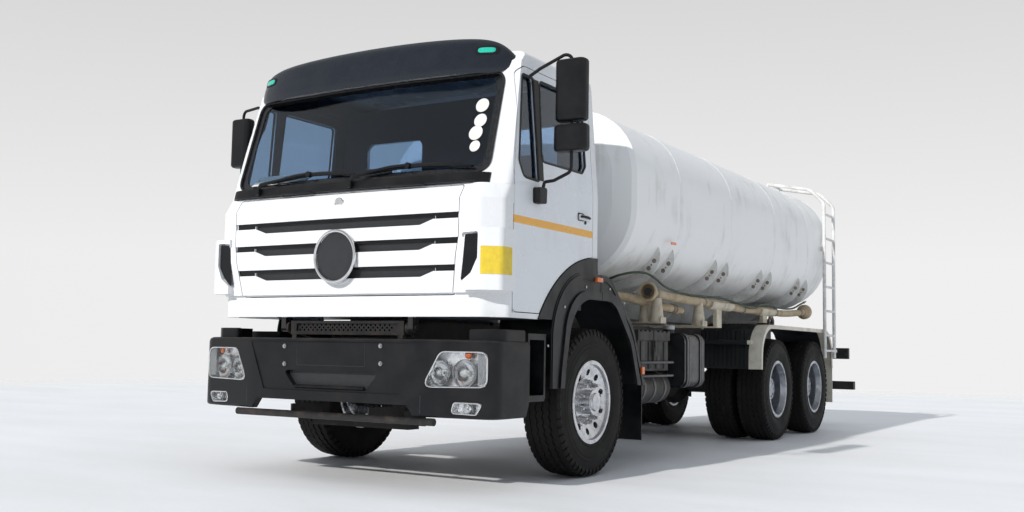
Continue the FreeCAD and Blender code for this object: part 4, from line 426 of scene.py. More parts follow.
class Shape:
    """Collects faces and becomes one piece."""

    def __init__(self):
        self.points, self.faces = [], []

    def add(self, points, faces):
        base = len(self.points)
        self.points += [tuple(p) for p in points]
        self.faces += [tuple(base + i for i in face) for face in faces]
        return self

    def box(self, x0, x1, y0, y1, z0, z1):
        return self.prism([(x0, y0), (x1, y0), (x1, y1), (x0, y1)], "z", z0, z1)

    def prism(self, outline, axis, low, high, caps=True):
        """Outline drawn along an axis, given in the other two axes' order."""
        at = "xyz".index(axis)
        rings = []
        for level in (low, high):
            rings.append([(a, b)[:at] + (level,) + (a, b)[at:] for a, b in outline])
        return self.loft(rings, caps)

    def loft(self, rings, caps=True, closed=True):
        """Skin over rings of equally many points."""
        n = len(rings[0])
        points = [p for ring in rings for p in ring]
        faces = []
        for k in range(len(rings) - 1):
            for i in range(n if closed else n - 1):
                j = (i + 1) % n
                faces.append((k * n + i, k * n + j, (k + 1) * n + j, (k + 1) * n + i))
        if caps:
            faces.append(tuple(range(n)))
            faces.append(tuple((len(rings) - 1) * n + i for i in range(n)))
        return self.add(points, faces)

    def turned(self, profile, centre, axis="x", n=48, start=0.0, sweep=360.0, caps=False):
        """Profile of (along, radius) turned about an axis through centre."""
        whole = sweep >= 360
        rings = []
        for k in range(n if whole else n + 1):
            a = math.radians(start + sweep * k / n)
            ring = []
            for along, r in profile:
                u, v = r * math.sin(a), r * math.cos(a)
                offset = {"x": (along, u, v), "y": (u, along, v), "z": (u, v, along)}[axis]
                ring.append(tuple(c + o for c, o in zip(centre, offset)))
            rings.append(ring)
        if whole:
            rings.append(rings[0])
        return self.loft(rings, caps and not whole, closed=False)

    def rod(self, a, b, r, n=16, r2=None):
        a, b = Vector(a), Vector(b)
        along = (b - a).normalized()
        side = along.orthogonal().normalized()
        other = along.cross(side)
        return self.loft([circle(a, side, other, r, n), circle(b, side, other, r if r2 is None else r2, n)])

    def tube(self, path, r, n=10, closed=False):
        path = [Vector(p) for p in path]
        count = len(path)
        side = None
        rings = []
        for i, p in enumerate(path):
            before = path[i - 1] if closed or i else p
            after = path[(i + 1) % count] if closed or i < count - 1 else p
            along = (after - before).normalized()
            side = along.orthogonal() if side is None else side - along * side.dot(along)
            side.normalize()
            other = along.cross(side)
            rings.append(circle(p, side, other, r, n))
        if closed:
            rings.append(rings[0])
        return self.loft(rings, caps=not closed)

    def mirrored(self):
        """Adds the same shape on the other side of the truck."""
        return self.add([(-x, y, z) for x, y, z in self.points], list(self.faces))

    def flipped(self):
        self.points = [(-x, y, z) for x, y, z in self.points]
        return self

    def piece(self, name, material, body, bevel=0.0, angle=32.0, replaces=None):
        """Makes the shape a mesh piece that rides on a body; edges sharper than angle stay sharp."""
        mesh = bpy.data.meshes.new(name)
        mesh.from_pydata([metres(point) for point in self.points], [], self.faces)
        work = bmesh.new()
        work.from_mesh(mesh)
        bmesh.ops.remove_doubles(work, verts=work.verts, dist=WELD)
        bmesh.ops.recalc_face_normals(work, faces=work.faces)
        if bevel:
            edges = [e for e in work.edges if e.is_manifold and e.calc_face_angle() > math.radians(angle)]
            bmesh.ops.bevel(work, geom=edges, offset=bevel / 1000, segments=2, affect="EDGES", profile=0.6,
                            clamp_overlap=True)
        work.to_mesh(mesh)
        work.free()
        mesh.shade_smooth()
        mesh.set_sharp_from_angle(angle=math.radians(angle))
        thing = bpy.data.objects.new(name, mesh)
        bpy.context.scene.collection.objects.link(thing)
        mesh.materials.append(MATERIALS[material])
        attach(thing, body)
        if replaces:
            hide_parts(replaces)
        return thing


# ---- wheels ---------------------------------------------------------------------------------------
TYRE_R = 530.0
FRONT_TYRE_X = 1050.0
OUTER_TYRE_X = 1045.0
INNER_TYRE_X = 700.0
REAR_AXLES = (("mid", 4300.0), ("rear", 5650.0))
RIBS = [(-124, -82, 4), (-72, -30, 7), (-21, 21, 7), (30, 72, 7), (82, 124, 4)]
SHOULDER = [(118, 505), (118, 521.5), (134, 518), (146, 492), (143, 474), (130, 474)]
PITCHES = 54
NUTS = 10
NUT_RING_R = 142.0
NUT_R = 18.0
STUD_R = 12.0


def tyre(shape, x_mid, y):
    """Carcass with stepped sidewalls under five zigzag ribs."""
    half = [(-131, 291), (-139, 300), (-142, 316), (-139, 322), (-144, 334), (-149, 372), (-149.5, 392),
            (-147, 396), (-147, 418), (-145, 421), (-144, 440), (-139, 468), (-141, 471), (-138, 486),
            (-133, 496), (-128, 511)]
    profile = half + [(-90, 516), (0, 518), (90, 516)] + [(-a, r) for a, r in reversed(half)]
    shape.turned(profile, (x_mid, y, TYRE_R), "x", 84)
    for low, high, wave in RIBS:
        rings = []
        crown = 12.0 * (max(abs(low), abs(high)) / 150.0) ** 2
        for k in range(2 * PITCHES + 1):
            a = math.pi * k / PITCHES
            shift = wave if k % 2 else -wave
            ring = []
            for x, r in ((low, 512), (low, TYRE_R - crown), (high, TYRE_R - crown), (high, 512)):
                edge = shift if abs(x) < 123 else 0.0
                ring.append((x_mid + x + edge, y + r * math.sin(a), TYRE_R + r * math.cos(a)))
            rings.append(ring)
        shape.loft(rings, caps=False, closed=False)
    # shoulder lugs
    for side in (-1, 1):
        for k in range(PITCHES):
            a0, a1 = 2 * math.pi * (k + 0.1) / PITCHES, 2 * math.pi * (k + 0.72) / PITCHES
            rings = []
            for a in (a0, (a0 + a1) / 2, a1):
                rings.append([(x_mid + side * x, y + r * math.sin(a), TYRE_R + r * math.cos(a))
                              for x, r in SHOULDER])
            shape.loft(rings)


def nuts(shape, x, y, out, length):
    """Ring of wheel nuts with their studs, standing outwards from x."""
    for cy, cz in around(y, TYRE_R, NUT_RING_R, NUTS):
        shape.rod((x, cy, cz), (x + out * 7, cy, cz), NUT_R + 5, 18)
        shape.rod((x + out * 6, cy, cz), (x + out * (length * 0.62), cy, cz), NUT_R, 6)
        shape.rod((x + out * length * 0.6, cy, cz), (x + out * length, cy, cz), STUD_R, 14, STUD_R - 2)


def flange(name, out, x, y, material, body):
    """Rolled outer edge of a rim."""
    profile = [(118, 292), (124, 303), (131, 305), (136, 300), (137, 290), (130, 283), (112, 272), (100, 262),
               (96, 258)]
    shape = Shape()
    shape.turned([(out * along, r) for along, r in profile], (out * x, y, TYRE_R), "x", 72)
    shape.piece(name, material, body)


def make_wheels():
    """Treads, nuts, hubs and flanges of all ten wheels."""
    for side, out in (("left", 1), ("right", -1)):
        body = "wheel_front_" + side
        shape = Shape()
        tyre(shape, out * FRONT_TYRE_X, 0.0)
        shape.piece("tread_front_" + side, "rubber", body, replaces="tyre_front_" + side)
        face = out * 1140.0
        ring = Shape()
        nuts(ring, face, 0.0, out, 52)
        ring.piece("nuts_front_" + side, "bright_steel", body)
        hub = Shape()
        profile = [(40, 86), (68, 90), (78, 86), (80, 70), (90, 66), (102, 58), (106, 44), (106, 0)]
        hub.turned([(out * along, r) for along, r in profile], (face - out * 20, 0, TYRE_R), "x", 40)
        for cy, cz in around(0.0, TYRE_R, 77, 6):
            hub.rod((face + out * 56, cy, cz), (face + out * 66, cy, cz), 8, 6)
        hub.piece("hubcap_front_" + side, "rim_front", body)
        flange("flange_front_" + side, out, FRONT_TYRE_X, 0, "rim_front", body)
        for station, y in REAR_AXLES:
            body = "wheel_%s_%s" % (station, side)
            shape = Shape()
            tyre(shape, out * OUTER_TYRE_X, y)
            tyre(shape, out * INNER_TYRE_X, y)
            shape.piece("tread_%s_%s" % (station, side), "rubber", body,
                        replaces="tyres_%s_%s" % (station, side))
            ring = Shape()
            meet = out * 872.5
            nuts(ring, meet + out * 26, y, out, 50)
            ring.piece("nuts_%s_%s" % (station, side), "rusty_steel", body)
            hub = Shape()
            hub.turned([(out * 20, 112), (out * 200, 108), (out * 206, 100), (out * 226, 96), (out * 234, 84),
                        (out * 234, 0)], (meet, y, TYRE_R), "x", 36)
            for cy, cz in around(y, TYRE_R, 78, 8):
                hub.rod((meet + out * 224, cy, cz), (meet + out * 242, cy, cz), 9, 6)
            hub.piece("hub_%s_%s" % (station, side), "rim_rear", body)
            flange("flange_%s_%s" % (station, side), out, OUTER_TYRE_X, y, "rim_rear", body)


# ---- surfaces of the cab and the bumper ---------------------------------------------------------------
CAB_FRONT = -1450.0
CAB_HALF = 1220.0
CAB_WAIST = 1940.0
SCREEN_SET = 63.0               # foot of the windscreen behind the cab's foremost line
SCREEN_SLOPE = 0.30             # backward lean per unit of height
COWL_SET = 30.0
COWL_SLOPE = 0.25
BUMPER_FRONT = -1500.0
# plan of a bowed front: x of the bend, how far back it lies, radius of the bow
LOW_BOW = (1085, 30, 14000)
SCREEN_BOW = (1075, 75, 7000)


def bow(x, bend, back, radius):
    """How far a bowed front lies behind its foremost line."""
    turn = math.atan2(back, bend)
    if abs(x) < radius * math.sin(turn):
        return radius / math.cos(turn) - math.sqrt(radius * radius - x * x)
    return back * abs(x) / bend


def cab_y(x, z):
    """Outer face of the cab's front below the windscreen."""
    if z < 1246:
        setback = 60.0
    elif z < 1480:
        setback = 35.0 * (1480 - z) / 235
    elif z < 1840:
        setback = 0.0
    else:
        setback = SCREEN_SET * (z - 1840) / 100
    return CAB_FRONT + setback + bow(x, *LOW_BOW)


def screen_y(x, z):
    """Outer face of the windscreen."""
    return CAB_FRONT + SCREEN_SET + SCREEN_SLOPE * (z - CAB_WAIST) + bow(x, *SCREEN_BOW)


def band_y(x, z):
    """Outer face of the black cowl band under the windscreen."""
    return CAB_FRONT + COWL_SET + COWL_SLOPE * (z - CAB_WAIST - 6) + bow(x, *LOW_BOW)


def bumper_y(x):
    """Outer face of the bumper."""
    x = abs(x)
    if x <= 700:
        return BUMPER_FRONT + 14.0 * x / 700
    return BUMPER_FRONT + 14.0 + 81.0 * (x - 700) / 550


def flare_path(steps=8):
    """Plan of the corner flare's outer face from the front to the side."""
    line = [(1004, -1441.5), (1130, -1440), (1248, -1350), (1248, -1189)]
    out = []
    for i, r in ((1, 100.0), (2, 55.0)):
        a, p, b = Vector(line[i - 1]), Vector(line[i]), Vector(line[i + 1])
        u, v = (a - p), (b - p)
        cut = min(r / math.tan(u.angle(v) / 2), 0.45 * u.length, 0.45 * v.length)
        start, end = p + u.normalized() * cut, p + v.normalized() * cut
        for k in range(steps + 1):
            t = k / steps
            out.append(tuple(start.lerp(p, t).lerp(p.lerp(end, t), t)))
    return [line[0]] + out + [line[-1]]


# ---- front of the cab ---------------------------------------------------------------------------------
SLOT_ZS = [1401.0, 1572.0, 1732.0]
NOSE_Z = 1494.0                 # middle of the ring on the flap
NOSE_R = 171.0
BADGE_Z = 1856.0
VENT = [(1016, 1606), (1110, 1609), (1108, 1445), (1064, 1372), (998, 1310), (990, 1330), (1001, 1428)]


def strip_on(shape, surface, rows, xs, lift):
    """Skin that follows a front surface: rows of heights against places across."""
    rings = [[(x, surface(x, z) - lift, z) for x in xs] for z in rows]
    return shape.loft(rings, caps=False, closed=False)


def make_slot_mesh():
    """Dark mesh behind the three slots of the flap."""
    mesh = Shape()
    for z in SLOT_ZS:
        xs = [-785 + 1570 * k / 24 for k in range(25)]
        strip_on(mesh, cab_y, [z - 62, z - 20, z + 24], xs, -30)
    mesh.piece("slot_mesh", "mesh_black", "flap")


def make_slot_edges():
    """Black strip over the top of each slot and a rolled lip along its lower edge."""
    strips = Shape()
    for z in SLOT_ZS:
        strip_on(strips, cab_y, [z + 1.0, z + 19.4], [-955 + 1910 * k / 24 for k in range(25)], -12.6)
        for side in (-1, 1):
            strip_on(strips, cab_y, [z - 19.4, z + 19.4], [side * (784 + 19 * k) for k in range(10)], -12.4)
    strips.piece("slot_strips", "plastic", "flap")
    # rolled lip along the lower edge of each slot
    lips = Shape()
    for z in SLOT_ZS:
        path = [(-778, z - 20), (-668, z - 57), (668, z - 57), (778, z - 20)]
        line = []
        for (x0, z0), (x1, z1) in zip(path, path[1:]):
            for k in range(10):
                t = k / 10
                x, h = x0 + (x1 - x0) * t, z0 + (z1 - z0) * t
                line.append((x, cab_y(x, h) + 2.0, h))
        line.append((778, cab_y(778, z - 20) + 2.0, z - 20))
        lips.tube(line, 3.0, 6)
    lips.piece("slot_lips", "cab_white", "flap")


def make_nose_ring():
    """Plain ring with its dark disc, and a bare badge above it."""
    ring = Shape()
    loop = []
    for k in range(64):
        a = 2 * math.pi * k / 64
        x, z = NOSE_R * math.cos(a), NOSE_Z + NOSE_R * math.sin(a)
        loop.append((x, -1468.0, z))
    ring.tube(loop, 11, 12, closed=True)
    for degrees in (30, 150, 270):
        a = math.radians(degrees)
        x, z = NOSE_R * math.cos(a), NOSE_Z + NOSE_R * math.sin(a)
        ring.rod((x, -1468, z), (x, -1440, z), 7, 12)
    ring.piece("nose_ring", "chrome", "flap")
    disc = Shape()
    disc.turned([(4, 0), (4, 160), (-6, 160), (-8, 150), (-12, 100), (-13, 0)], (0, -1456.0, NOSE_Z), "y", 64)
    disc.piece("nose_disc", "mesh_black", "flap")
    badge = Shape()
    badge.turned([(0, 0), (0, 34), (-3, 37), (-8, 36), (-9, 30), (-6, 27), (-6, 0)],
                 (0, cab_y(0, BADGE_Z) - 1.0, BADGE_Z), "y", 40)
    badge.piece("nose_badge", "chrome", "flap")


def make_corner_pieces():
    """Dark vents and a blank yellow plate bent round the left flare."""
    vents = Shape()
    vents.prism(rounded(VENT, 12), "y", -1424, -1421)
    vents.mirrored().piece("vent_backs", "plastic", "cab")
    # blank yellow plate bent round the left flare
    plate = Shape()
    path = [p for p in flare_path(14) if p[0] > 1136 and p[1] < -1230] + [(1248, -1236)]
    rings = []
    for z in (1356, 1529):
        rings.append([(x + 1.6, y - 1.2, z) for x, y in path])
    plate.loft(rings, caps=False, closed=False)
    plate.piece("corner_plate", "plate_yellow", "cab")


def make_windscreen_trim():
    """Rubber round the windscreen, its black print and plain round stickers."""
    seal = Shape()
    z0, z1 = 2020.0, 2712.0
    outline = rounded([(-1092, z0), (1092, z0), (1080, z1), (-1080, z1)], 90, 8)
    dense = spread(outline, 60)
    seal.tube([(x, screen_y(x, z) - 1.0, z) for x, z in dense], 9, 8, closed=True)
    seal.piece("windscreen_seal", "seal_rubber", "cab")
    prints = Shape()
    inner = [(x * 0.955, 2366 + (z - 2366) * 0.90) for x, z in dense]
    outer_ring = [(x, screen_y(x, z) + 8.0, z) for x, z in dense]
    inner_ring = [(x, screen_y(x, z) + 8.0, z) for x, z in inner]
    outer_ring.append(outer_ring[0])
    inner_ring.append(inner_ring[0])
    prints.loft([outer_ring, inner_ring], caps=False, closed=False)
    prints.piece("windscreen_print", "frit", "cab")
    # plain round stickers on the glass
    discs = Shape()
    for x, z, r in ((948, 2485, 48), (955, 2378, 46), (938, 2292, 50), (950, 2200, 38)):
        ring = [(x + r * math.cos(a * math.pi / 16), z + r * math.sin(a * math.pi / 16)) for a in range(32)]
        discs.add([(a, screen_y(a, b) + 7.0, b) for a, b in ring], [tuple(range(32))])
    discs.piece("screen_discs", "paper", "cab")


def make_cowl_grabs():
    """Two black grab bars on the cowl."""
    grabs = Shape()
    for x0, x1 in ((-566, -270), (372, 670)):
        points = []
        for x, z, lift in ((x0, 1948, 0), (x0, 1948, 26), (x0 + 20, 1950, 38),
                           (x1 - 20, 1950, 38), (x1, 1948, 26), (x1, 1948, 0)):
            points.append((x, cab_y(x, 1940) - lift, z))
        grabs.tube(points, 9, 8)
    grabs.piece("cowl_grabs", "plastic", "cab", angle=50)


VISOR_HALF = 1118.0
# cowl band's section: height, how far it lies behind its outer face
BAND_SECTION = [(1945, 10), (1947, 2), (1953, 0), (2000, 0), (2008, 3), (2011, 12), (2011, 40), (1945, 40)]


def visor_y(x, z):
    """Outer face of the roof visor: nearly straight across, wrapping back at its ends."""
    share = min(1.0, abs(x) / VISOR_HALF)
    return -1236.0 + 236.0 * (1.0 - max(0.0, 1.0 - share ** 4.6) ** 0.45) + 0.25 * (z - 2650)


def visor_ends(x):
    """Lower and upper edge of the visor at a place across."""
    share = min(1.0, abs(x) / VISOR_HALF)
    return 2708.0 - 14.0 * share ** 2 + 70.0 * share ** 26, 2990.0 - 62.0 * share ** 2 - 120.0 * share ** 16


def make_visor():
    """Rolled roof visor, and the black band under the glass."""
    visor = Shape()
    rings = []
    for k in range(-48, 49):
        x = VISOR_HALF * math.sin(math.pi * k / 96)
        low, high = visor_ends(x)
        outer = []
        for i in range(13):
            t = i / 12
            z = low + (high - low) * t
            roll = 26.0 * max(0.0, (t - 0.86) / 0.14) ** 2 + 12.0 * max(0.0, (0.10 - t) / 0.10) ** 2
            outer.append((x, visor_y(x, z) - 10.0 * math.sin(math.pi * t) + roll, z))
        crest, foot = visor_y(x, high), visor_y(x, low)
        top = [(x * 0.99, crest + 60.0, high - 4.0), (x * 0.985, crest + 120.0, high - 34.0)]
        back = [(x * 0.975, crest + 70.0, high - 70.0), (x * 0.98, foot + 30.0, low + 10.0)]
        rings.append(outer + top + back)
    visor.loft(rings)
    # black band under the glass, drawn back to the pillars at its ends
    rings = []
    for k in range(-44, 45):
        x = 1108.0 * math.sin(math.pi * k / 88)
        if abs(k) <= 30:
            x = 1108.0 * math.sin(math.pi * 30 / 88) * k / 30
        wrap = 78.0 * max(0.0, (abs(x) - 990.0) / 118.0) ** 2
        rings.append([(x, band_y(x, z) + wrap + dent, z) for z, dent in BAND_SECTION])
    band = Shape()
    band.loft(rings)
    visor.piece("visor", "visor_black", "cab", angle=40, replaces="visor_and_cowl")
    band.piece("cowl_band", "plastic", "cab", angle=40, replaces="visor_and_cowl")


def make_wipers():
    """Wiper blades and arms."""
    wipers = Shape()
    for pivot_x, tip_x in ((-790, 60), (65, 985)):
        mid_x = pivot_x + 430
        start, rings = pivot_x + 60, []
        for k in range(21):
            t = k / 20
            x = start + (tip_x - start) * t
            z = 2052 + 34 * math.sin(math.pi * min(1.0, t * 0.95))
            y = screen_y(x, z) - 14
            tall = 17 - 9 * abs(2 * t - 1) ** 3
            rings.append([(x, y - 13, z - tall * 0.5), (x, y - 17, z + tall * 0.3), (x, y - 4, z + tall),
                          (x, y + 2, z + tall * 0.4), (x, y + 2, z - tall * 0.7)])
        wipers.loft(rings)
        front = band_y(pivot_x, 1985)
        arm = [(pivot_x, front - 20, 1985), (pivot_x + 40, front - 26, 2030),
               (pivot_x + 150, screen_y(pivot_x + 150, 2060) - 44, 2062),
               (pivot_x + 300, screen_y(pivot_x + 300, 2080) - 40, 2084),
               (mid_x, screen_y(mid_x, 2086) - 32, 2092)]
        wipers.tube(arm, 13, 8)
        wipers.rod((pivot_x, front - 34, 1985), (pivot_x, front + 20, 1985), 30, 24)
        joint = screen_y(mid_x, 2086)
        wipers.rod((mid_x, joint - 44, 2090), (mid_x, joint - 10, 2088), 20, 16)
    wipers.piece("wiper_blades", "plastic", "cab", angle=40, replaces="wipers")


def make_visor_markers():
    """Oval marker lamps let into the visor's face."""
    marks, frames = Shape(), Shape()
    for side in (-1, 1):
        for shape, wide, tall, lift in ((marks, 56.0, 19.0, 15.0), (frames, 78.0, 33.0, 12.0)):
            rings = []
            for share, rise in ((1.0, -4.0), (1.0, 0.0), (0.8, 0.45), (0.4, 0.8)):
                ring = []
                for k in range(32):
                    a = 2 * math.pi * k / 32
                    u = math.copysign(abs(math.cos(a)) ** 0.6, math.cos(a)) * wide * share
                    v = math.copysign(abs(math.sin(a)) ** 0.6, math.sin(a)) * tall * share
                    x, z = side * 962 + u, 2856 + v
                    ring.append((x, visor_y(x, z) - lift - 5.0 * rise, z))
                rings.append(ring)
            shape.loft(rings)
    frames.piece("marker_frames", "plastic", "cab", angle=60)
    marks.piece("visor_markers", "lens_teal", "cab", angle=60)


# ---- bumper, lamps -------------------------------------------------------------------------------------
LAMP = [(750, 648), (1196, 656), (1196, 880), (868, 880)]
LAMP_ROUND = [40, 55, 55, 60]
# bumper's outer face: height, how far it is drawn in
BUMPER_SECTION = [(465, 16), (468, 8), (475, 2), (484, 0), (560, 0), (760, 0), (915, 0), (932, 3), (942, 10),
                  (948, 22), (950, 40)]
FOG = [(952, 492), (1128, 487), (1172, 566), (966, 568)]


def shrunk(outline, by):
    """Outline drawn in towards its middle."""
    cx = sum(x for x, z in outline) / len(outline)
    cz = sum(z for x, z in outline) / len(outline)
    return [(x - math.copysign(by, x - cx), z - math.copysign(by, z - cz)) for x, z in outline]


def bowl(shape, x, z, y, r, depth, n=32):
    """Reflector bowl with its rolled edge."""
    dish = [(0, r), (depth * 0.35, r * 0.86), (depth * 0.7, r * 0.62), (depth * 0.92, r * 0.34), (depth, 18)]
    shape.turned(dish, (x, y, z), "y", n)
    shape.turned([(0, r), (-2, r + 3), (0, r + 5), (6, r + 5)], (x, y, z), "y", n)


def carved(thing, cutters):
    """Cuts solids out of a piece, once and for all."""
    for tool in cutters:
        cut = thing.modifiers.new("cut", "BOOLEAN")
        cut.operation, cut.solver, cut.object = "DIFFERENCE", "EXACT", tool
    mesh = bpy.data.meshes.new_from_object(thing.evaluated_get(bpy.context.evaluated_depsgraph_get()))
    thing.modifiers.clear()
    thing.data = mesh
    mesh.shade_smooth()
    mesh.set_sharp_from_angle(angle=math.radians(28))
    for tool in cutters:
        bpy.data.objects.remove(tool)


def cutter(outline, low, high, grow=0.0):
    """Solid along y that is wider by grow at its front."""
    cx = sum(x for x, z in outline) / len(outline)
    cz = sum(z for x, z in outline) / len(outline)
    wide = [(x + math.copysign(grow, x - cx), z + math.copysign(grow * 0.5, z - cz)) for x, z in outline]
    shape = Shape()
    shape.loft([[(x, low, z) for x, z in wide], [(x, high, z) for x, z in outline]])
    mesh = bpy.data.meshes.new("cutter")
    mesh.from_pydata([metres(point) for point in shape.points], [], shape.faces)
    work = bmesh.new()
    work.from_mesh(mesh)
    bmesh.ops.recalc_face_normals(work, faces=work.faces)
    work.to_mesh(mesh)
    work.free()
    thing = bpy.data.objects.new("cutter", mesh)
    bpy.context.scene.collection.objects.link(thing)
    return thing


def bumper_plan(inset, back):
    """Half plan of the bumper's outer face: straight, swept, then rounded into its wing."""
    half = 1250.0 - inset
    line = [(0, -1500 + inset), (700, -1486 + inset), (half, -1405 + inset), (half, back)]
    return rounded(line + [(0, back)], [0, 900, 105 - 0.5 * inset, 0, 0], 10)[:-1]


def make_bumper():
    """Bumper with rounded ends, cut for its lamps, slot, notch and recessed panel."""
    rings = []
    for z, inset in BUMPER_SECTION:
        outer = bumper_plan(inset, -1000.0 - (30 if z < 500 else 0))
        inner = bumper_plan(max(58.0, inset + 20), -1000.0 - (30 if z < 500 else 0))
        # one closed loop: outer face left to right, then inner face back
        loop = [(-x, y, z) for x, y in reversed(outer)][:-1] + [(x, y, z) for x, y in outer]
        loop += [(x, y, z) for x, y in reversed(inner)] + [(-x, y, z) for x, y in inner][1:]
        rings.append(loop)
    shape = Shape()
    shape.loft(rings)
    bumper = shape.piece("bumper", "plastic", "chassis", replaces="front_bumper")
    cuts = [cutter([(-580, 600), (-716, 925), (716, 925), (580, 600)], -1620, -1479, 34)]
    cuts.append(cutter(rounded([(-310, 626), (-412, 732), (412, 732), (310, 626)], 26), -1620, -1400, 8))
    cuts.append(cutter([(-740, 400), (-640, 535), (640, 535), (740, 400)], -1620, -900))
    for outline, radii in ((LAMP, LAMP_ROUND), (FOG, [22] * 4)):
        for side in (-1, 1):
            cuts.append(cutter([(side * x, z) for x, z in rounded(outline, radii)], -1620, -1250, 3))
    carved(bumper, cuts)


def make_bumper_deck():
    """Deck behind the top edge, raised ledges over the wings, arms, lip of the air slot."""
    deck = Shape()
    outer = bumper_plan(30.0, -1060.0)
    inner = [(0, -1330), (1140, -1322), (1150, -1060)]
    loop = [(-x, y) for x, y in reversed(outer)][:-1] + outer
    loop += list(reversed(inner)) + [(-x, y) for x, y in inner][1:]
    deck.prism(loop, "z", 930, 944)
    deck.prism([(-745, -1470), (745, -1470), (745, -1335), (-745, -1335)], "z", 926, 938)
    for side in (-1, 1):
        path = rounded([(1000, -1340), (1150, -1345), (1232, -1280), (1232, -1020), (1160, -1020),
                        (1160, -1290), (1000, -1290)], [20, 60, 70, 20, 10, 20, 10], 5)
        rings = []
        for z, inset in ((940, 0), (1004, 0), (1014, 4), (1018, 12)):
            rings.append([(side * (x - math.copysign(inset * 0.6, x - 1150)),
                           y + (inset if y < -1300 else -inset * 0.4), z) for x, y in path])
        deck.loft(rings)
        # arm back to the chassis
        near, far = sorted((side * 300, side * 428))
        deck.prism([(near, -1455), (far, -1455), (far, -1040), (near, -1040)], "z", 820, 920)
    deck.piece("bumper_deck", "plastic", "chassis", angle=35)
    lip = Shape()
    lip.loft([[(x, y, z) for y, z in ((-1478, 640), (-1496, 626), (-1498, 620), (-1478, 612))]
              for x in (-300, -150, 0, 150, 300)])
    lip.piece("slot_lip", "plastic", "chassis", bevel=2)


def make_lamps():
    """Headlamps and fog lamps: housings, bowls, bulbs, lenses, rims and indicators."""
    houses, bowls, lenses, ambers, bulbs = Shape(), Shape(), Shape(), Shape(), Shape()
    for outline, radii, depth in ((LAMP, LAMP_ROUND, 92), (FOG, [22] * 4, 62)):
        edge = rounded(shrunk(outline, 2), radii)
        front = [(x, bumper_y(x) + 6, z) for x, z in edge]
        back = [(x, bumper_y(x) + depth, z) for x, z in edge]
        houses.loft([front, back], caps=False)
        houses.add(back, [tuple(range(len(back)))])
        # lens: rings that shrink to its middle, so that it follows the bumper's corner
        edge = rounded(shrunk(outline, 1), radii)
        cx = sum(x for x, z in edge) / len(edge)
        cz = sum(z for x, z in edge) / len(edge)
        rings = []
        for share, behind in ((1.0, 5.0), (1.0, 2.0), (0.97, -1.0), (0.7, -1.0), (0.35, -1.0)):
            ring = [(cx + (x - cx) * share, cz + (z - cz) * share) for x, z in edge]
            rings.append([(x, bumper_y(x) + behind, z) for x, z in ring])
        lenses.loft(rings, caps=False)
        lenses.add(rings[-1], [tuple(range(len(edge)))])
    for x, z, r in ((860, 742, 74), (1030, 742, 82)):
        y = bumper_y(x) + 26
        bowl(bowls, x, z, y, r, 58)
        bulbs.turned([(0, 10), (-18, 10), (-26, 6), (-28, 0)], (x, y + 52, z), "y", 16)
    bowl(bowls, 1060, 528, bumper_y(1060) + 22, 34, 34, 24)
    for k in range(7):
        x = 1122 + 10 * k
        ambers.loft([[(x, bumper_y(x) + 22, z), (x + 4.5, bumper_y(x) + 16, z), (x + 9, bumper_y(x) + 22, z),
                      (x + 9, bumper_y(x) + 36, z), (x, bumper_y(x) + 36, z)] for z in (676, 864)])
    rims = Shape()
    for outline, radii in ((LAMP, LAMP_ROUND), (FOG, [22] * 4)):
        edge = rounded(shrunk(outline, 5), radii)
        rims.tube([(x, bumper_y(x) + 1.0, z) for x, z in spread(edge, 40)], 5, 8, closed=True)
    rims.mirrored().piece("lamp_rims", "chrome", "chassis")
    flash = Shape()
    flash.turned([(0, 24), (-14, 22), (-22, 12), (-24, 0)], (1052, bumper_y(1052) + 40, 855), "y", 24)
    flash.mirrored().piece("lamp_flashers", "lens_amber", "chassis")
    houses.mirrored().piece("lamp_housings", "lamp_inside", "chassis", replaces="front_lamps")
    bowls.mirrored().piece("lamp_bowls", "chrome", "chassis")
    lenses.mirrored().piece("lamp_lenses", "lens", "chassis", angle=40)
    ambers.mirrored().piece("indicators", "lens_white", "chassis", bevel=1)
    bulbs.mirrored().piece("lamp_bulbs", "bulb_glass", "chassis")


def make_bumper_details():
    """Bolts in the middle panel, mesh behind the air slot, joint lines."""
    bolts = Shape()
    for x, z in ((-405, 892), (-401, 772), (420, 903), (424, 790)):
        y = -1481.0
        bolts.rod((x, y - 3, z), (x, y + 8, z), 15, 20)
        bolts.rod((x, y - 11, z), (x, y - 3, z), 10, 6)
    bolts.piece("bumper_bolts", "bright_steel", "chassis")
    slot = Shape()
    slot.prism(rounded([(-320, 616), (-420, 742), (420, 742), (320, 616)], 20), "y", -1440, -1436)
    slot.piece("slot_backing", "mesh_black", "chassis")
    seams = Shape()
    for x in (-742, 742):
        seams.box(x - 2, x + 2, bumper_y(x) - 0.8, bumper_y(x) + 4, 486, 600)
    for x in (-292, 292):
        seams.box(x - 1.5, x + 1.5, -1480, -1476, 768, 934)
    seams.box(-292, 292, -1480, -1476, 766.5, 769.5)
    seams.piece("bumper_seams", "mesh_black", "chassis")


# ---- doors and cab sides -------------------------------------------------------------------------------
def side_ring(shape, outline, x, r, n=8):
    """Round seal that follows an outline on the cab's side."""
    shape.tube([(side_x(z) - x, y, z) for y, z in spread(outline, 50)], r, n, closed=True)


def side_x(z):
    """Half width of the cab at a height."""
    return CAB_HALF if z < 2000 else CAB_HALF - 62.0 * (z - 2000) / 790


VENT_PANE = [(-1112, 2105), (-1062, 2008), (-862, 2004), (-868, 2700), (-1016, 2700)]
MAIN_PANE = [(-790, 2700), (-812, 2145), (-235, 2150), (-182, 2205), (-182, 2700)]


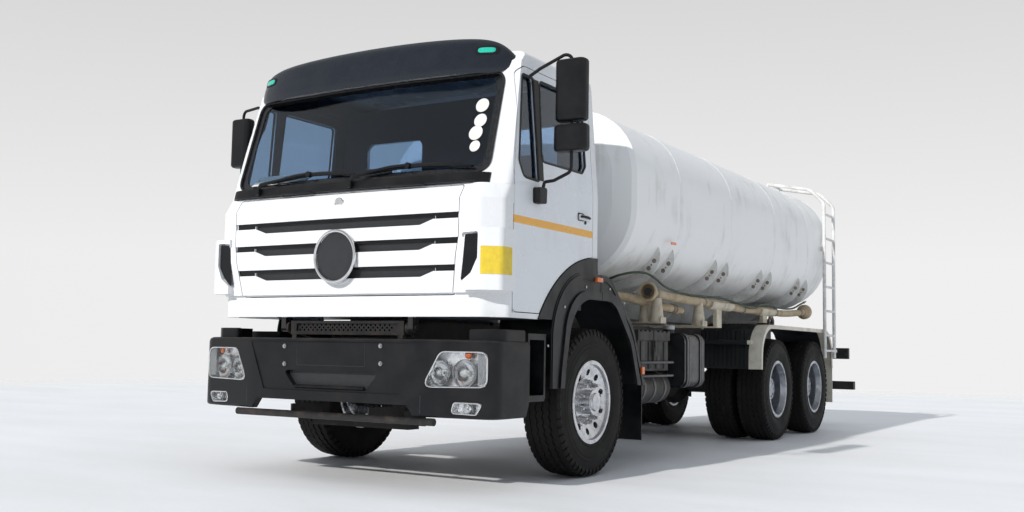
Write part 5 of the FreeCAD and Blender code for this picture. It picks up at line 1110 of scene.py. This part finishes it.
def make_doors():
    """Seals, post, handle, inner card and mirror glass of each door."""
    for side, flip in (("left", False), ("right", True)):
        body = "door_of_" + side
        seals = Shape()
        side_ring(seals, rounded(VENT_PANE, [30, 60, 22, 30, 30]), 3, 10)
        side_ring(seals, rounded(MAIN_PANE, 40), 3, 9)
        # black post between the panes
        section = ((1.0, -862), (1.0, -800), (-10.0, -800), (-10.0, -862))
        levels = (2010, 2150, 2300, 2500, 2697)
        seals.loft([[(side_x(z) + lift, y, z) for lift, y in section] for z in levels])
        handle = Shape()
        grip = [(1222, -300, 1832), (1238, -296, 1834), (1246, -280, 1836),
                (1246, -200, 1836), (1240, -170, 1834), (1222, -162, 1832)]
        handle.tube(grip, 9, 8)
        handle.prism(rounded([(-318, 1806), (-226, 1806), (-226, 1862), (-318, 1862)], 16), "x", 1218, 1224)
        handle.rod((1218, -205, 1800), (1226, -205, 1800), 13, 16)
        inner = Shape()
        inner.box(1160, 1166, -1080, -150, 1180, 2050)
        inner.box(1130, 1160, -800, -300, 1640, 1690)
        inner.tube([(1164, -880, 1500), (1110, -870, 1505), (1110, -600, 1515), (1164, -590, 1520)], 13, 8)
        for shape, name, material, bevel in ((seals, "door_seals_", "seal_rubber", 0),
                                             (handle, "handle_", "plastic", 1),
                                             (inner, "door_card_", "trim", 2)):
            if flip:
                shape.flipped()
            shape.piece(name + side, material, body, bevel=bevel, angle=45)
        # mirror glass facing back
        heads = [(2580, 410, 222, 112), (2266, 178, 240, 112)] if side == "left" else [(2479, 384, 190, 100)]
        glass = Shape()
        for z, height, width, depth in heads:
            y = -894 + depth / 2
            u, v = width / 2 - 20, height / 2 - 22
            edge = rounded([(1475 - u, z - v), (1475 + u, z - v), (1475 + u, z + v), (1475 - u, z + v)], 26)
            glass.prism(edge, "y", y - 2, y + 1.5)
        if flip:
            glass.flipped()
        glass.piece("mirror_glass_" + side, "mirror_silver", body)


def make_arch_details():
    """Amber markers on the arches and bolts of their panels."""
    lamps, bolts = Shape(), Shape()
    lamps.prism(rounded([(-70, 1388), (20, 1388), (20, 1420), (-70, 1420)], 8), "x", 1230, 1256)
    lamps.mirrored().piece("arch_markers_front", "lens_amber", "cab", bevel=2)
    lamps = Shape()
    lamps.prism(rounded([(716, 722), (760, 722), (760, 778), (716, 778)], 8), "x", 1228, 1252)
    lamps.mirrored().piece("arch_markers_rear", "lens_amber", "chassis")
    for a in (-62, -38, -14, 12, 30):
        r = 838.0
        y, z = r * math.sin(math.radians(a)), TYRE_R + r * math.cos(math.radians(a))
        bolts.rod((1232, y, z), (1237, y, z), 9, 12)
    bolts.mirrored().piece("arch_bolts", "bright_steel", "cab")


# ---- cab inside ----------------------------------------------------------------------------------------
def cushion(x0, x1, y0, y1, z0, z1, puff):
    """Sewn cushion: a subdivided block, swollen between its seams."""
    nx, ny = 12, 12
    shape = Shape()
    top, low = [], []
    for j in range(ny + 1):
        for i in range(nx + 1):
            u, v = i / nx, j / ny
            fall = (1 - (2 * u - 1) ** 8) * (1 - (2 * v - 1) ** 8)
            dome = (math.sin(math.pi * u) ** 0.5 + math.sin(math.pi * v) ** 0.5) / 2
            seam = 1.0 - 0.5 * math.exp(-((abs(u - 0.5) - 0.27) / 0.035) ** 2)
            seam *= 1.0 - 0.4 * math.exp(-((v - 0.55) / 0.03) ** 2)
            top.append((u, v, puff * dome * seam * fall))
            low.append((u, v, -6.0 * fall))
    points = []
    for u, v, h in top:
        points.append((x0 + (x1 - x0) * u, y0 + (y1 - y0) * v, z1 - puff + h))
    for u, v, h in low:
        points.append((x0 + (x1 - x0) * u, y0 + (y1 - y0) * v, z0 + h))
    faces = []
    width = nx + 1
    base = width * (ny + 1)
    for j in range(ny):
        for i in range(nx):
            a = j * width + i
            faces.append((a, a + 1, a + width + 1, a + width))
            faces.append((base + a, base + a + width, base + a + width + 1, base + a + 1))
    rim = ([i for i in range(nx)] + [j * width + nx for j in range(ny)]
           + [ny * width + i for i in range(nx, 0, -1)] + [j * width for j in range(ny, 0, -1)])
    for a, b in zip(rim, rim[1:] + rim[:1]):
        faces.append((a, b, base + b, base + a))
    shape.add(points, faces)
    return shape


def make_interior():
    """Dashboard, clocks, padded seats and the papers behind the windscreen."""
    dash = Shape()
    section = [(-1280, 1480), (-1280, 1958), (-1180, 1968), (-1040, 1972), (-985, 1945), (-938, 1888),
               (-950, 1745), (-1060, 1642), (-1118, 1482)]
    rings = []
    for x in (-1072, -1060, -1020, -420, -300, 300, 420, 1020, 1060, 1072):
        sink = 14.0 if abs(x) > 1065 else 4.0 if abs(x) > 1055 else 0.0
        hump = 0.0 if x > -300 else 10.0
        rings.append([(x, y + sink, z - sink + (hump if z > 1940 else 0.0)) for y, z in section])
    dash.loft(rings)
    dash.prism(rounded([(-1010, 1968), (-960, 2012), (-900, 1985), (-915, 1940)], 12), "x", -900, -500)
    for k in range(4):
        dash.box(-260 + 140 * k, -150 + 140 * k, -953, -943, 1770, 1850)
    dash.rod((-700, -905, 1925), (-700, -1070, 1640), 33, 24)
    dash.rod((-640, -925, 1895), (-560, -915, 1915), 7, 10)
    dash.piece("dash", "trim", "cab", bevel=5, angle=30, replaces="cab_interior")
    clocks = Shape()
    for x in (-790, -700, -610):
        clocks.turned([(0, 40), (-4, 40), (-4, 34), (-1, 33), (-1, 0)], (x, -957, 1845), "y", 32)
    clocks.piece("clocks", "clock_face", "cab")
    for side, x in (("left", 700), ("right", -700)):
        base = Shape()
        base.box(x - 170, x + 170, -610, -260, 1470, 1540)
        foot = rounded([(-640, 1470), (-600, 1545), (-270, 1545), (-240, 1470)], 10)
        base.prism(foot, "x", x - 186, x + 186)
        base.piece("seat_base_" + side, "trim", "cab", bevel=4, replaces="cab_interior")
        seat = cushion(x - 248, x + 248, -760, -215, 1548, 1652, 46)
        rest = cushion(x - 238, x + 238, 0, 570, 0, 84, 36)
        # back cushion stands up, facing forward
        rest.points = [(a, -196.0 - c * 0.985 + (b / 570) * 62, 1608 + b) for a, b, c in rest.points]
        head = cushion(x - 138, x + 138, 0, 148, 0, 92, 26)
        head.points = [(a, -128.0 - c, 2182 + b) for a, b, c in head.points]
        for part, shape in (("seat_", seat), ("backrest_", rest), ("headrest_", head)):
            thing = shape.piece(part + side, "seat", "cab", replaces="cab_interior", angle=80)
            soft = thing.modifiers.new("soft", "SUBSURF")
            soft.levels = soft.render_levels = 1
    papers = Shape()
    for sheet in ([(-960, -1296, 2046), (-700, -1308, 2046), (-690, -1200, 2128), (-950, -1190, 2128)],
                  [(-660, -1306, 2042), (-420, -1316, 2042), (-400, -1240, 2100), (-640, -1226, 2104)]):
        papers.add(sheet, [(0, 1, 2, 3)])
    papers.piece("dash_papers", "paper", "cab")


# ---- tank ------------------------------------------------------------------------------------------------
TANK_MIDDLE = 2167.5
TANK_SEAMS = [703.0, 1590.0, 2840.0, 4150.0, 5360.0, 6077.0]


def tank_outline(steps=10):
    """Closed section of the tank: half width 1200, height 1425, crowned top and bottom."""
    middle, half, rise, corner = TANK_MIDDLE, 1200.0, 712.5, 550.0
    line = [(0, middle - rise), (half, middle - rise + 37.5), (half, middle + rise - 75), (0, middle + rise)]
    right = []
    for i in (1, 2):
        a, p, b = Vector(line[i - 1]), Vector(line[i]), Vector(line[i + 1])
        u, v = (a - p).normalized(), (b - p).normalized()
        angle = u.angle(v)
        centre = p + (u + v).normalized() * (corner / math.sin(angle / 2))
        cut = corner / math.tan(angle / 2)
        first, last = p + u * cut - centre, p + v * cut - centre
        a0, a1 = math.atan2(first.y, first.x), math.atan2(last.y, last.x)
        for k in range(steps + 1):
            t = a0 + (a1 - a0) * k / steps
            right.append((centre.x + corner * math.cos(t), centre.y + corner * math.sin(t)))
    top, low = right[-1], right[0]
    foot, crest = line[0][1], line[3][1]
    bottom = [(low[0] * k / 6, foot + (low[1] - foot) * (k / 6) ** 1.35) for k in range(6)]
    upper = [(top[0] * k / 6, crest - (crest - top[1]) * (k / 6) ** 1.35) for k in range(5, -1, -1)]
    return bottom + right + upper


def make_tank_seams():
    """Raised weld seams round the tank."""
    seams = Shape()
    outline = tank_outline()
    whole = outline + [(-x, z) for x, z in reversed(outline) if x > 0]
    for y in TANK_SEAMS:
        wide = 5.0
        rings = []
        for off, lift in ((-wide, -3.0), (-wide * 0.5, 2.0), (0.0, 3.0), (wide * 0.5, 2.0), (wide, -3.0)):
            rings.append([(x * (1 + lift / 1200), y + off, TANK_MIDDLE + (z - TANK_MIDDLE) * (1 + lift / 712))
                          for x, z in whole])
        seams.loft(rings, caps=False)
    seams.piece("tank_seams", "tank_white", "chassis", angle=60)


def make_saddle_details():
    """Dark bolts in the holes of the saddle plates, and reflectors on the tank."""
    plugs = Shape()
    for y in (1270, 2590, 3900, 5205):
        for station in (y, y + 300):
            for x, z, r in ((1098, 1650, 19.5), (1048, 1590, 19.5), (1072, 1616, 7.6)):
                plugs.rod((x, station + 1, z), (x, station + 9, z), r, 20)
                if r > 10:
                    plugs.rod((x, station - 4, z), (x, station + 14, z), 9, 6)
    plugs.mirrored().piece("saddle_plugs", "rusty_steel", "chassis", angle=40)
    marks = Shape()
    marks.prism(rounded([(1375, 1792), (1478, 1792), (1478, 1815), (1375, 1815)], 6), "x", 1203, 1208)
    marks.mirrored().piece("tank_reflectors", "lens_amber", "chassis")


def make_tank_top():
    """Manhole clamps, and the vent with its lever."""
    lid = Shape()
    for x, y in around(0.0, 4700, 262, 6, 0.5):
        lid.rod((x, y, 2950), (x, y, 2962), 17, 6)
        lid.rod((x, y, 2962), (x, y, 2972), 9, 12)
    lid.tube([(-70, 4860, 2952), (-70, 4865, 2984), (70, 4865, 2984), (70, 4860, 2952)], 8, 8)
    lid.piece("lid_clamps", "rusty_steel", "lid", angle=50)
    valve = Shape()
    valve.rod((250, 5480, 2855), (250, 5480, 2925), 38, 24)
    valve.rod((250, 5480, 2925), (250, 5480, 2945), 48, 24)
    valve.rod((250, 5480, 2942), (250, 5480, 2962), 20, 16)
    valve.piece("vent_valve", "white_steel", "chassis", bevel=2)
    lever = Shape()
    lever.tube([(250, 5480, 2956), (250, 5420, 2966), (262, 5290, 2972)], 9, 8)
    lever.piece("vent_lever", "lens_amber", "chassis")


def make_flange_bolts():
    """Bolts round the rear outlet and the pump."""
    bolts = Shape()
    for (x, z), (y, level) in zip(around(0.0, 1640, 85, 8, 0.5), around(6720, 1290, 90, 8, 0.5)):
        bolts.rod((x, 6208, z), (x, 6266, z), 8, 6)
        bolts.rod((326, y, level), (338, y, level), 13, 6)
    bolts.piece("flange_bolts", "bright_steel", "chassis")


# ---- side equipment ----------------------------------------------------------------------------------------
def make_fuel_tank():
    """Double steel bands, filler cap and rim seams of the fuel tank."""
    gear = Shape()
    for y in (1719, 2009):
        for off in (4, 46):
            edge = rounded([(592, 594), (1213, 594), (1213, 1060), (592, 1060)], 76, 8)
            inner = rounded([(596, 598), (1209, 598), (1209, 1056), (596, 1056)], 73, 8)
            rings = [[(x, y + off, z) for x, z in inner], [(x, y + off, z) for x, z in edge],
                     [(x, y + off + 30, z) for x, z in edge], [(x, y + off + 30, z) for x, z in inner]]
            gear.loft(rings, caps=False)
    gear.piece("fuel_bands", "band_steel", "chassis", angle=40)
    cap = Shape()
    cap.turned([(0, 52), (24, 54), (34, 50), (38, 40), (38, 0)], (960, 1904, 1096), "z", 32)
    for k in range(3):
        a = 2 * math.pi * k / 3
        cap.rod((960 + 20 * math.cos(a), 1904 + 20 * math.sin(a), 1134),
                (960 + 54 * math.cos(a), 1904 + 54 * math.sin(a), 1128), 8, 8)
    cap.piece("fuel_cap", "galvanised", "chassis", bevel=1)
    seam = Shape()
    for y in (1674, 2130):
        edge = rounded([(600, 602), (1205, 602), (1205, 1052), (600, 1052)], 70, 8)
        inner = [(902 + (x - 902) * 0.985, 827 + (z - 827) * 0.98) for x, z in edge]
        rings = [[(x, y, z) for x, z in edge], [(x, y + 4, z) for x, z in edge]]
        seam.loft([[(x, y, z) for x, z in inner]] + rings + [[(x, y + 4, z) for x, z in inner]], caps=False)
    seam.piece("fuel_seams", "gloss_black", "chassis")


def make_battery_box():
    """Strap, buckle, rails and ribs of the battery box."""
    strap = Shape()
    outline = [(1060, 1070), (1184, 1070), (1186, 1064), (1186, 800), (1180, 800), (1180, 1066), (1060, 1066)]
    strap.prism(outline, "y", 1080, 1122)
    strap.box(1183, 1192, 1072, 1130, 860, 935)
    strap.box(1190, 1197, 1084, 1118, 900, 985)
    strap.piece("battery_strap", "strap_black", "chassis", bevel=1)
    rail = Shape()
    for z in (812, 704):
        rail.tube([(1010, 812, z), (1188, 812, z), (1196, 830, z), (1196, 1440, z), (1188, 1462, z),
                   (1010, 1462, z)], 10, 8)
    rail.piece("battery_rails", "band_steel", "chassis", angle=50)
    ribs = Shape()
    for k in range(4):
        y = 850 + 150 * k
        ribs.box(1168, 1176, y, y + 70, 760, 980)
    ribs.piece("battery_ribs", "plastic", "chassis", bevel=3)


def make_bands():
    """Bands round the air reservoirs and the silencer."""
    bands = Shape()
    for y in (984, 1180, 1384):
        bands.turned([(0, 128), (0, 132), (36, 132), (36, 128)], (1020, y, 605), "y", 40)
    for z in (640, 930):
        for y in (1080, 1480):
            bands.turned([(0, 128), (0, 132), (36, 132), (36, 128)], (-640, y, z), "y", 40)
    for y in (1050, 1500):
        bands.rod((1020, y, 476), (1020, y, 462), 14, 6)
    bands.piece("reservoir_bands", "band_steel", "chassis")
    can = Shape()
    for y in (2052, 2215, 2755, 2934):
        can.turned([(0, 190), (0, 196), (14, 196), (14, 190)], (-820, y, 780), "y", 48)
    can.piece("silencer_bands", "rusty_steel", "chassis")


def make_guard_ribs():
    """Long ribs of the rear mudguards, down the front and over the top."""
    ribs = Shape()
    for k in range(11):
        x = 572 + 46 * k
        ribs.box(x, x + 15, 3700, 6220, 1197, 1202)
        ribs.prism([(3640, 762), (3646, 762), (3662, 1130), (3656, 1130)], "x", x, x + 15)
    ribs.mirrored().piece("guard_ribs", "arch_black", "chassis", bevel=1.5)


def make_hose_bands():
    """Clamps round the hoses, and dark discs in their mouths as painted shade inside the hoses."""
    clamps = Shape()
    for route, radius, spots in ((SUCTION, 36, (0.02, 0.27, 0.52, 0.76, 0.97)), (DELIVERY, 36, (0.03, 0.96))):
        for t in spots:
            centre, along = on_route(route, t)
            side = along.orthogonal().normalized()
            other = along.cross(side)
            section = ((-16, radius - 2), (-16, radius + 5), (16, radius + 5), (16, radius - 2))
            clamps.loft([circle(centre + along * s, side, other, r, 24) for s, r in section], caps=False)
    clamps.piece("hose_bands", "rusty_steel", "chassis")
    mouth_shade_discs = Shape()
    # dark disc in each mouth of the suction hose: painted shade inside it
    for near, far, reach, r in ((SUCTION[0], SUCTION[1], 77.0, 34.0), (SUCTION[-1], SUCTION[-2], 85.0, 34.0)):
        out = (Vector(near) - Vector(far)).normalized()
        mouth_shade_discs.rod(Vector(near) + out * (reach - 2), Vector(near) + out * (reach + 1), r, 28)
    mouth_shade_discs.piece("hose_mouth_shade", "mesh_black", "chassis")


def make_rear_details():
    """Lens cells, bare plate and reflectors."""
    cells = Shape()
    for side in (-1, 1):
        for k in range(4):
            x = side * 960 - 190 + 8 + k * 94
            cells.prism(rounded([(x, 876), (x + 86, 876), (x + 86, 964), (x, 964)], 10), "y", 7253, 7260)
    cells.piece("tail_cells", "red_lens", "chassis", bevel=1)
    plate = Shape()
    plate.prism(rounded([(-260, 870), (260, 870), (260, 980), (-260, 980)], 10), "y", 7219.6, 7222)
    plate.piece("rear_plate", "plate_yellow", "chassis")
    reflect = Shape()
    for x in (-1130, 1130):
        reflect.turned([(3, 0), (3, 34), (1.5, 38), (-1, 38)], (x, 7500, 507), "y", 24)
    reflect.piece("rear_reflectors", "red_lens", "chassis")


def on_route(route, t):
    """Point and direction near a share of a route."""
    whole = sum((Vector(b) - Vector(a)).length for a, b in zip(route, route[1:]))
    left = t * whole
    for a, b in zip(route, route[1:]):
        step = (Vector(b) - Vector(a)).length
        if left <= step:
            return Vector(a).lerp(Vector(b), left / step), (Vector(b) - Vector(a)).normalized()
        left -= step
    return Vector(route[-1]), (Vector(route[-1]) - Vector(route[-2])).normalized()


# ---- hoses ----------------------------------------------------------------------------------------
SUCTION = [(1100, 1215, 1384), (1096, 1950, 1352), (1104, 2780, 1362), (1092, 3480, 1330), (1102, 4130, 1356),
           (1094, 4800, 1330), (1100, 5470, 1385)]
DELIVERY = [(1040, 1830, 1272), (1010, 1560, 1290), (985, 1300, 1312), (975, 1110, 1332), (905, 958, 1346),
            (780, 860, 1356), (636, 846, 1366)]
WASH = [(655, 850, 1428), (765, 849, 1442), (880, 842, 1472), (988, 848, 1508), (1070, 908, 1530),
        (1103, 1020, 1538), (1108, 1150, 1530), (1112, 1290, 1498), (1118, 1410, 1454), (1116, 1560, 1428),
        (1104, 1790, 1415), (1100, 2040, 1404), (1110, 2290, 1408), (1106, 2540, 1414), (1112, 2780, 1418),
        (1106, 2990, 1408), (1150, 3210, 1374), (1154, 3450, 1347), (1150, 3690, 1360), (1118, 3930, 1404),
        (1108, 4170, 1412), (1101, 4420, 1404), (1104, 4670, 1394), (1110, 4920, 1398), (1104, 5150, 1420),
        (1098, 5360, 1468), (1094, 5540, 1500)]


def hose(name, node, route, radius, material, length, exit_index, far_end, **facts):
    """Cord along a route; exit_index, the route's end where it leaves its coupling, is not used."""
    curve = bpy.data.curves.new(name, "CURVE")
    curve.dimensions = "3D"
    spline = curve.splines.new("NURBS")
    spline.points.add(len(route) - 1)
    for point, place in zip(spline.points, route):
        point.co = (*metres(place), 1.0)
    spline.order_u = 3
    spline.use_endpoint_u = True
    spline.resolution_u = 12
    curve.bevel_depth = radius
    curve.bevel_resolution = 6
    curve.use_fill_caps = True
    thing = bpy.data.objects.new(name, curve)
    bpy.context.scene.collection.objects.link(thing)
    curve.materials.append(MATERIALS[material])
    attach(thing, "chassis")
    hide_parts(node)


FILL = 0.47                     # strength of the world's light on the truck
BRIGHT_WAY = Vector((-0.20, 0.97, 0.10))
# backdrop's strength, from facing away from the bright side to facing it, and from low to high
BACKDROP_TURN = (-1.0, 1.0, 0.72, 0.87)
BACKDROP_RISE = (0.08, 0.62, 1.0, 0.52)
KEY_WAY = (0.20, 1.83, -1.0)
KEY_POWER = 3.1
FLOOR_HALF = 60.0
FADE = (13.0, 20.0)             # the floor fades into the backdrop between these distances
CAMERA_PLACE = (4.773, -7.005 + FRONT_AXLE, 0.892)
CAMERA_TURN = (31.435, 4.949, 0.9996)
CAMERA_LENS = 38.144


# ---- stage, lights, camera ------------------------------------------------------------------------
def make_stage():
    """Pale floor that fades into the backdrop some way behind the truck."""
    size = FLOOR_HALF
    mesh = bpy.data.meshes.new("floor")
    corners = [(-size, -size, 0), (size, -size, 0), (size, size, 0), (-size, size, 0)]
    mesh.from_pydata(corners, [], [(0, 1, 2, 3)])
    floor = bpy.data.objects.new("floor", mesh)
    bpy.context.scene.collection.objects.link(floor)
    s = Surface("floor_pale", (0.78, 0.78, 0.78), 0.6)
    slabs = s.noise(0.35, 8.0, 0.6, at=s.stretched((1.0, 2.6, 1.0), (0, 0, math.radians(31))))
    fine = s.noise(14.0, 4.0)
    tone = s.plus(s.times(slabs, 0.85), s.times(fine, 0.15))
    s.put("Base Color", s.mix(s.ramp(tone, 0.3, 0.7), (0.82, 0.815, 0.81), (0.89, 0.89, 0.89)))
    s.put("Roughness", s.ramp(tone, 0.3, 0.7, 0.45, 0.65))
    away = s.node("ShaderNodeVectorMath", {0: s.place}, operation="LENGTH").outputs["Value"]
    fade = s.ramp(away, *FADE)
    empty = s.node("ShaderNodeBsdfTransparent").outputs[0]
    blend = s.node("ShaderNodeMixShader", {0: fade, 1: s.shader.outputs[0], 2: empty})
    s.feed(s.tree.nodes["Material Output"].inputs["Surface"], blend.outputs[0])
    floor.data.materials.append(s.material)


def make_world():
    """Cool soft fill, with a pale backdrop brightest behind the truck's far end."""
    world = bpy.data.worlds.new("studio")
    bpy.context.scene.world = world
    world.use_nodes = True
    tree = world.node_tree
    links = tree.links

    def node(kind, **settings):
        made = tree.nodes.new(kind)
        for key, value in settings.items():
            setattr(made, key, value)
        return made

    fill = tree.nodes["Background"]
    fill.inputs["Color"].default_value = (0.80, 0.87, 0.97, 1)
    above = node("ShaderNodeMapRange", interpolation_type="LINEAR")
    # the fill grows from below the horizon to straight above
    for key, value in (("From Min", -0.2), ("From Max", 1.0),
                       ("To Min", 0.7 * FILL), ("To Max", 1.75 * FILL)):
        above.inputs[key].default_value = value
    links.new(above.outputs["Result"], fill.inputs["Strength"])
    shown = node("ShaderNodeBackground")
    place = node("ShaderNodeTexCoord")
    toward = node("ShaderNodeVectorMath", operation="DOT_PRODUCT")
    links.new(place.outputs["Generated"], toward.inputs[0])
    toward.inputs[1].default_value = BRIGHT_WAY.normalized()
    apart = node("ShaderNodeSeparateXYZ")
    links.new(place.outputs["Generated"], apart.inputs[0])
    links.new(apart.outputs["Z"], above.inputs["Value"])
    product = node("ShaderNodeMath", operation="MULTIPLY")
    for slot, source, values in ((0, toward.outputs["Value"], BACKDROP_TURN),
                                 (1, apart.outputs["Z"], BACKDROP_RISE)):
        glow = node("ShaderNodeMapRange", interpolation_type="LINEAR")
        links.new(source, glow.inputs["Value"])
        for key, value in zip(("From Min", "From Max", "To Min", "To Max"), values):
            glow.inputs[key].default_value = value
        links.new(glow.outputs["Result"], product.inputs[slot])
    links.new(product.outputs[0], shown.inputs["Strength"])
    shown.inputs["Color"].default_value = (1.0, 1.0, 1.0, 1)
    path = node("ShaderNodeLightPath")
    seen = node("ShaderNodeMath", operation="MAXIMUM")
    through = node("ShaderNodeMath", operation="MAXIMUM")
    blend = node("ShaderNodeMixShader")
    links.new(path.outputs["Is Camera Ray"], seen.inputs[0])
    links.new(path.outputs["Is Glossy Ray"], seen.inputs[1])
    links.new(seen.outputs[0], through.inputs[0])
    links.new(path.outputs["Is Transmission Ray"], through.inputs[1])
    links.new(through.outputs[0], blend.inputs[0])
    links.new(fill.outputs[0], blend.inputs[1])
    links.new(shown.outputs[0], blend.inputs[2])
    links.new(blend.outputs[0], tree.nodes["World Output"].inputs["Surface"])


def sun(name, direction, strength, angle, colour=(1, 1, 1)):
    """Sun that shines along a direction and isn't mirrored in metal or glass."""
    data = bpy.data.lights.new(name, "SUN")
    data.energy = strength
    data.angle = math.radians(angle)
    data.color = colour
    light = bpy.data.objects.new(name, data)
    bpy.context.scene.collection.objects.link(light)
    light.visible_glossy = False
    light.rotation_mode = "QUATERNION"
    light.rotation_quaternion = Vector(direction).to_track_quat("-Z", "Y")


def make_camera():
    """Camera at the photograph's place: position, yaw, pitch, roll and focal length."""
    yaw, pitch, roll = (math.radians(a) for a in CAMERA_TURN)
    data = bpy.data.cameras.new("camera")
    data.lens = CAMERA_LENS
    data.sensor_width = 36.0
    data.clip_end = 400.0
    camera = bpy.data.objects.new("camera", data)
    bpy.context.scene.collection.objects.link(camera)
    ahead = Vector((-math.sin(yaw) * math.cos(pitch), math.cos(yaw) * math.cos(pitch), math.sin(pitch)))
    right = Vector((math.cos(yaw), math.sin(yaw), 0))
    up = right.cross(ahead)
    rolled_right = right * math.cos(roll) + up * math.sin(roll)
    rolled_up = up * math.cos(roll) - right * math.sin(roll)
    turn = Matrix((rolled_right, rolled_up, -ahead)).transposed().to_4x4()
    camera.matrix_world = Matrix.Translation(CAMERA_PLACE) @ turn
    bpy.context.scene.camera = camera


make_wheels()
make_slot_mesh()
make_slot_edges()
make_nose_ring()
make_corner_pieces()
make_windscreen_trim()
make_cowl_grabs()
make_visor()
make_wipers()
make_visor_markers()
make_bumper()
make_bumper_deck()
make_lamps()
make_bumper_details()
make_doors()
make_arch_details()
make_interior()
make_tank_seams()
make_saddle_details()
make_tank_top()
make_flange_bolts()
make_fuel_tank()
make_battery_box()
make_bands()
make_guard_ribs()
make_hose_bands()
make_rear_details()
make_stage()
make_world()
sun("key", KEY_WAY, KEY_POWER, 1.2, (1.0, 0.985, 0.96))
make_camera()
hose("suction_line", "suction_hose", SUCTION, 0.036, "hose_cream", 4.258, 0, "fitting",
     stiffness="medium", lay="loose", with_pieces=[NODES["hose_fittings"]])
hose("delivery_line", "delivery_hose", DELIVERY, 0.036, "hose_cream", 1.190, -1, "fitting",
     stiffness="limp", lay="loose", with_pieces=[NODES["hose_fittings"]])
hose("wash_line", "wash_hose", WASH, 0.010, "hose_green", 5.114, 0, "fitting",
     stiffness="limp", lay="loose", with_pieces=[NODES["hose_fittings"]])
bpy.context.scene.view_settings.view_transform = "Standard"
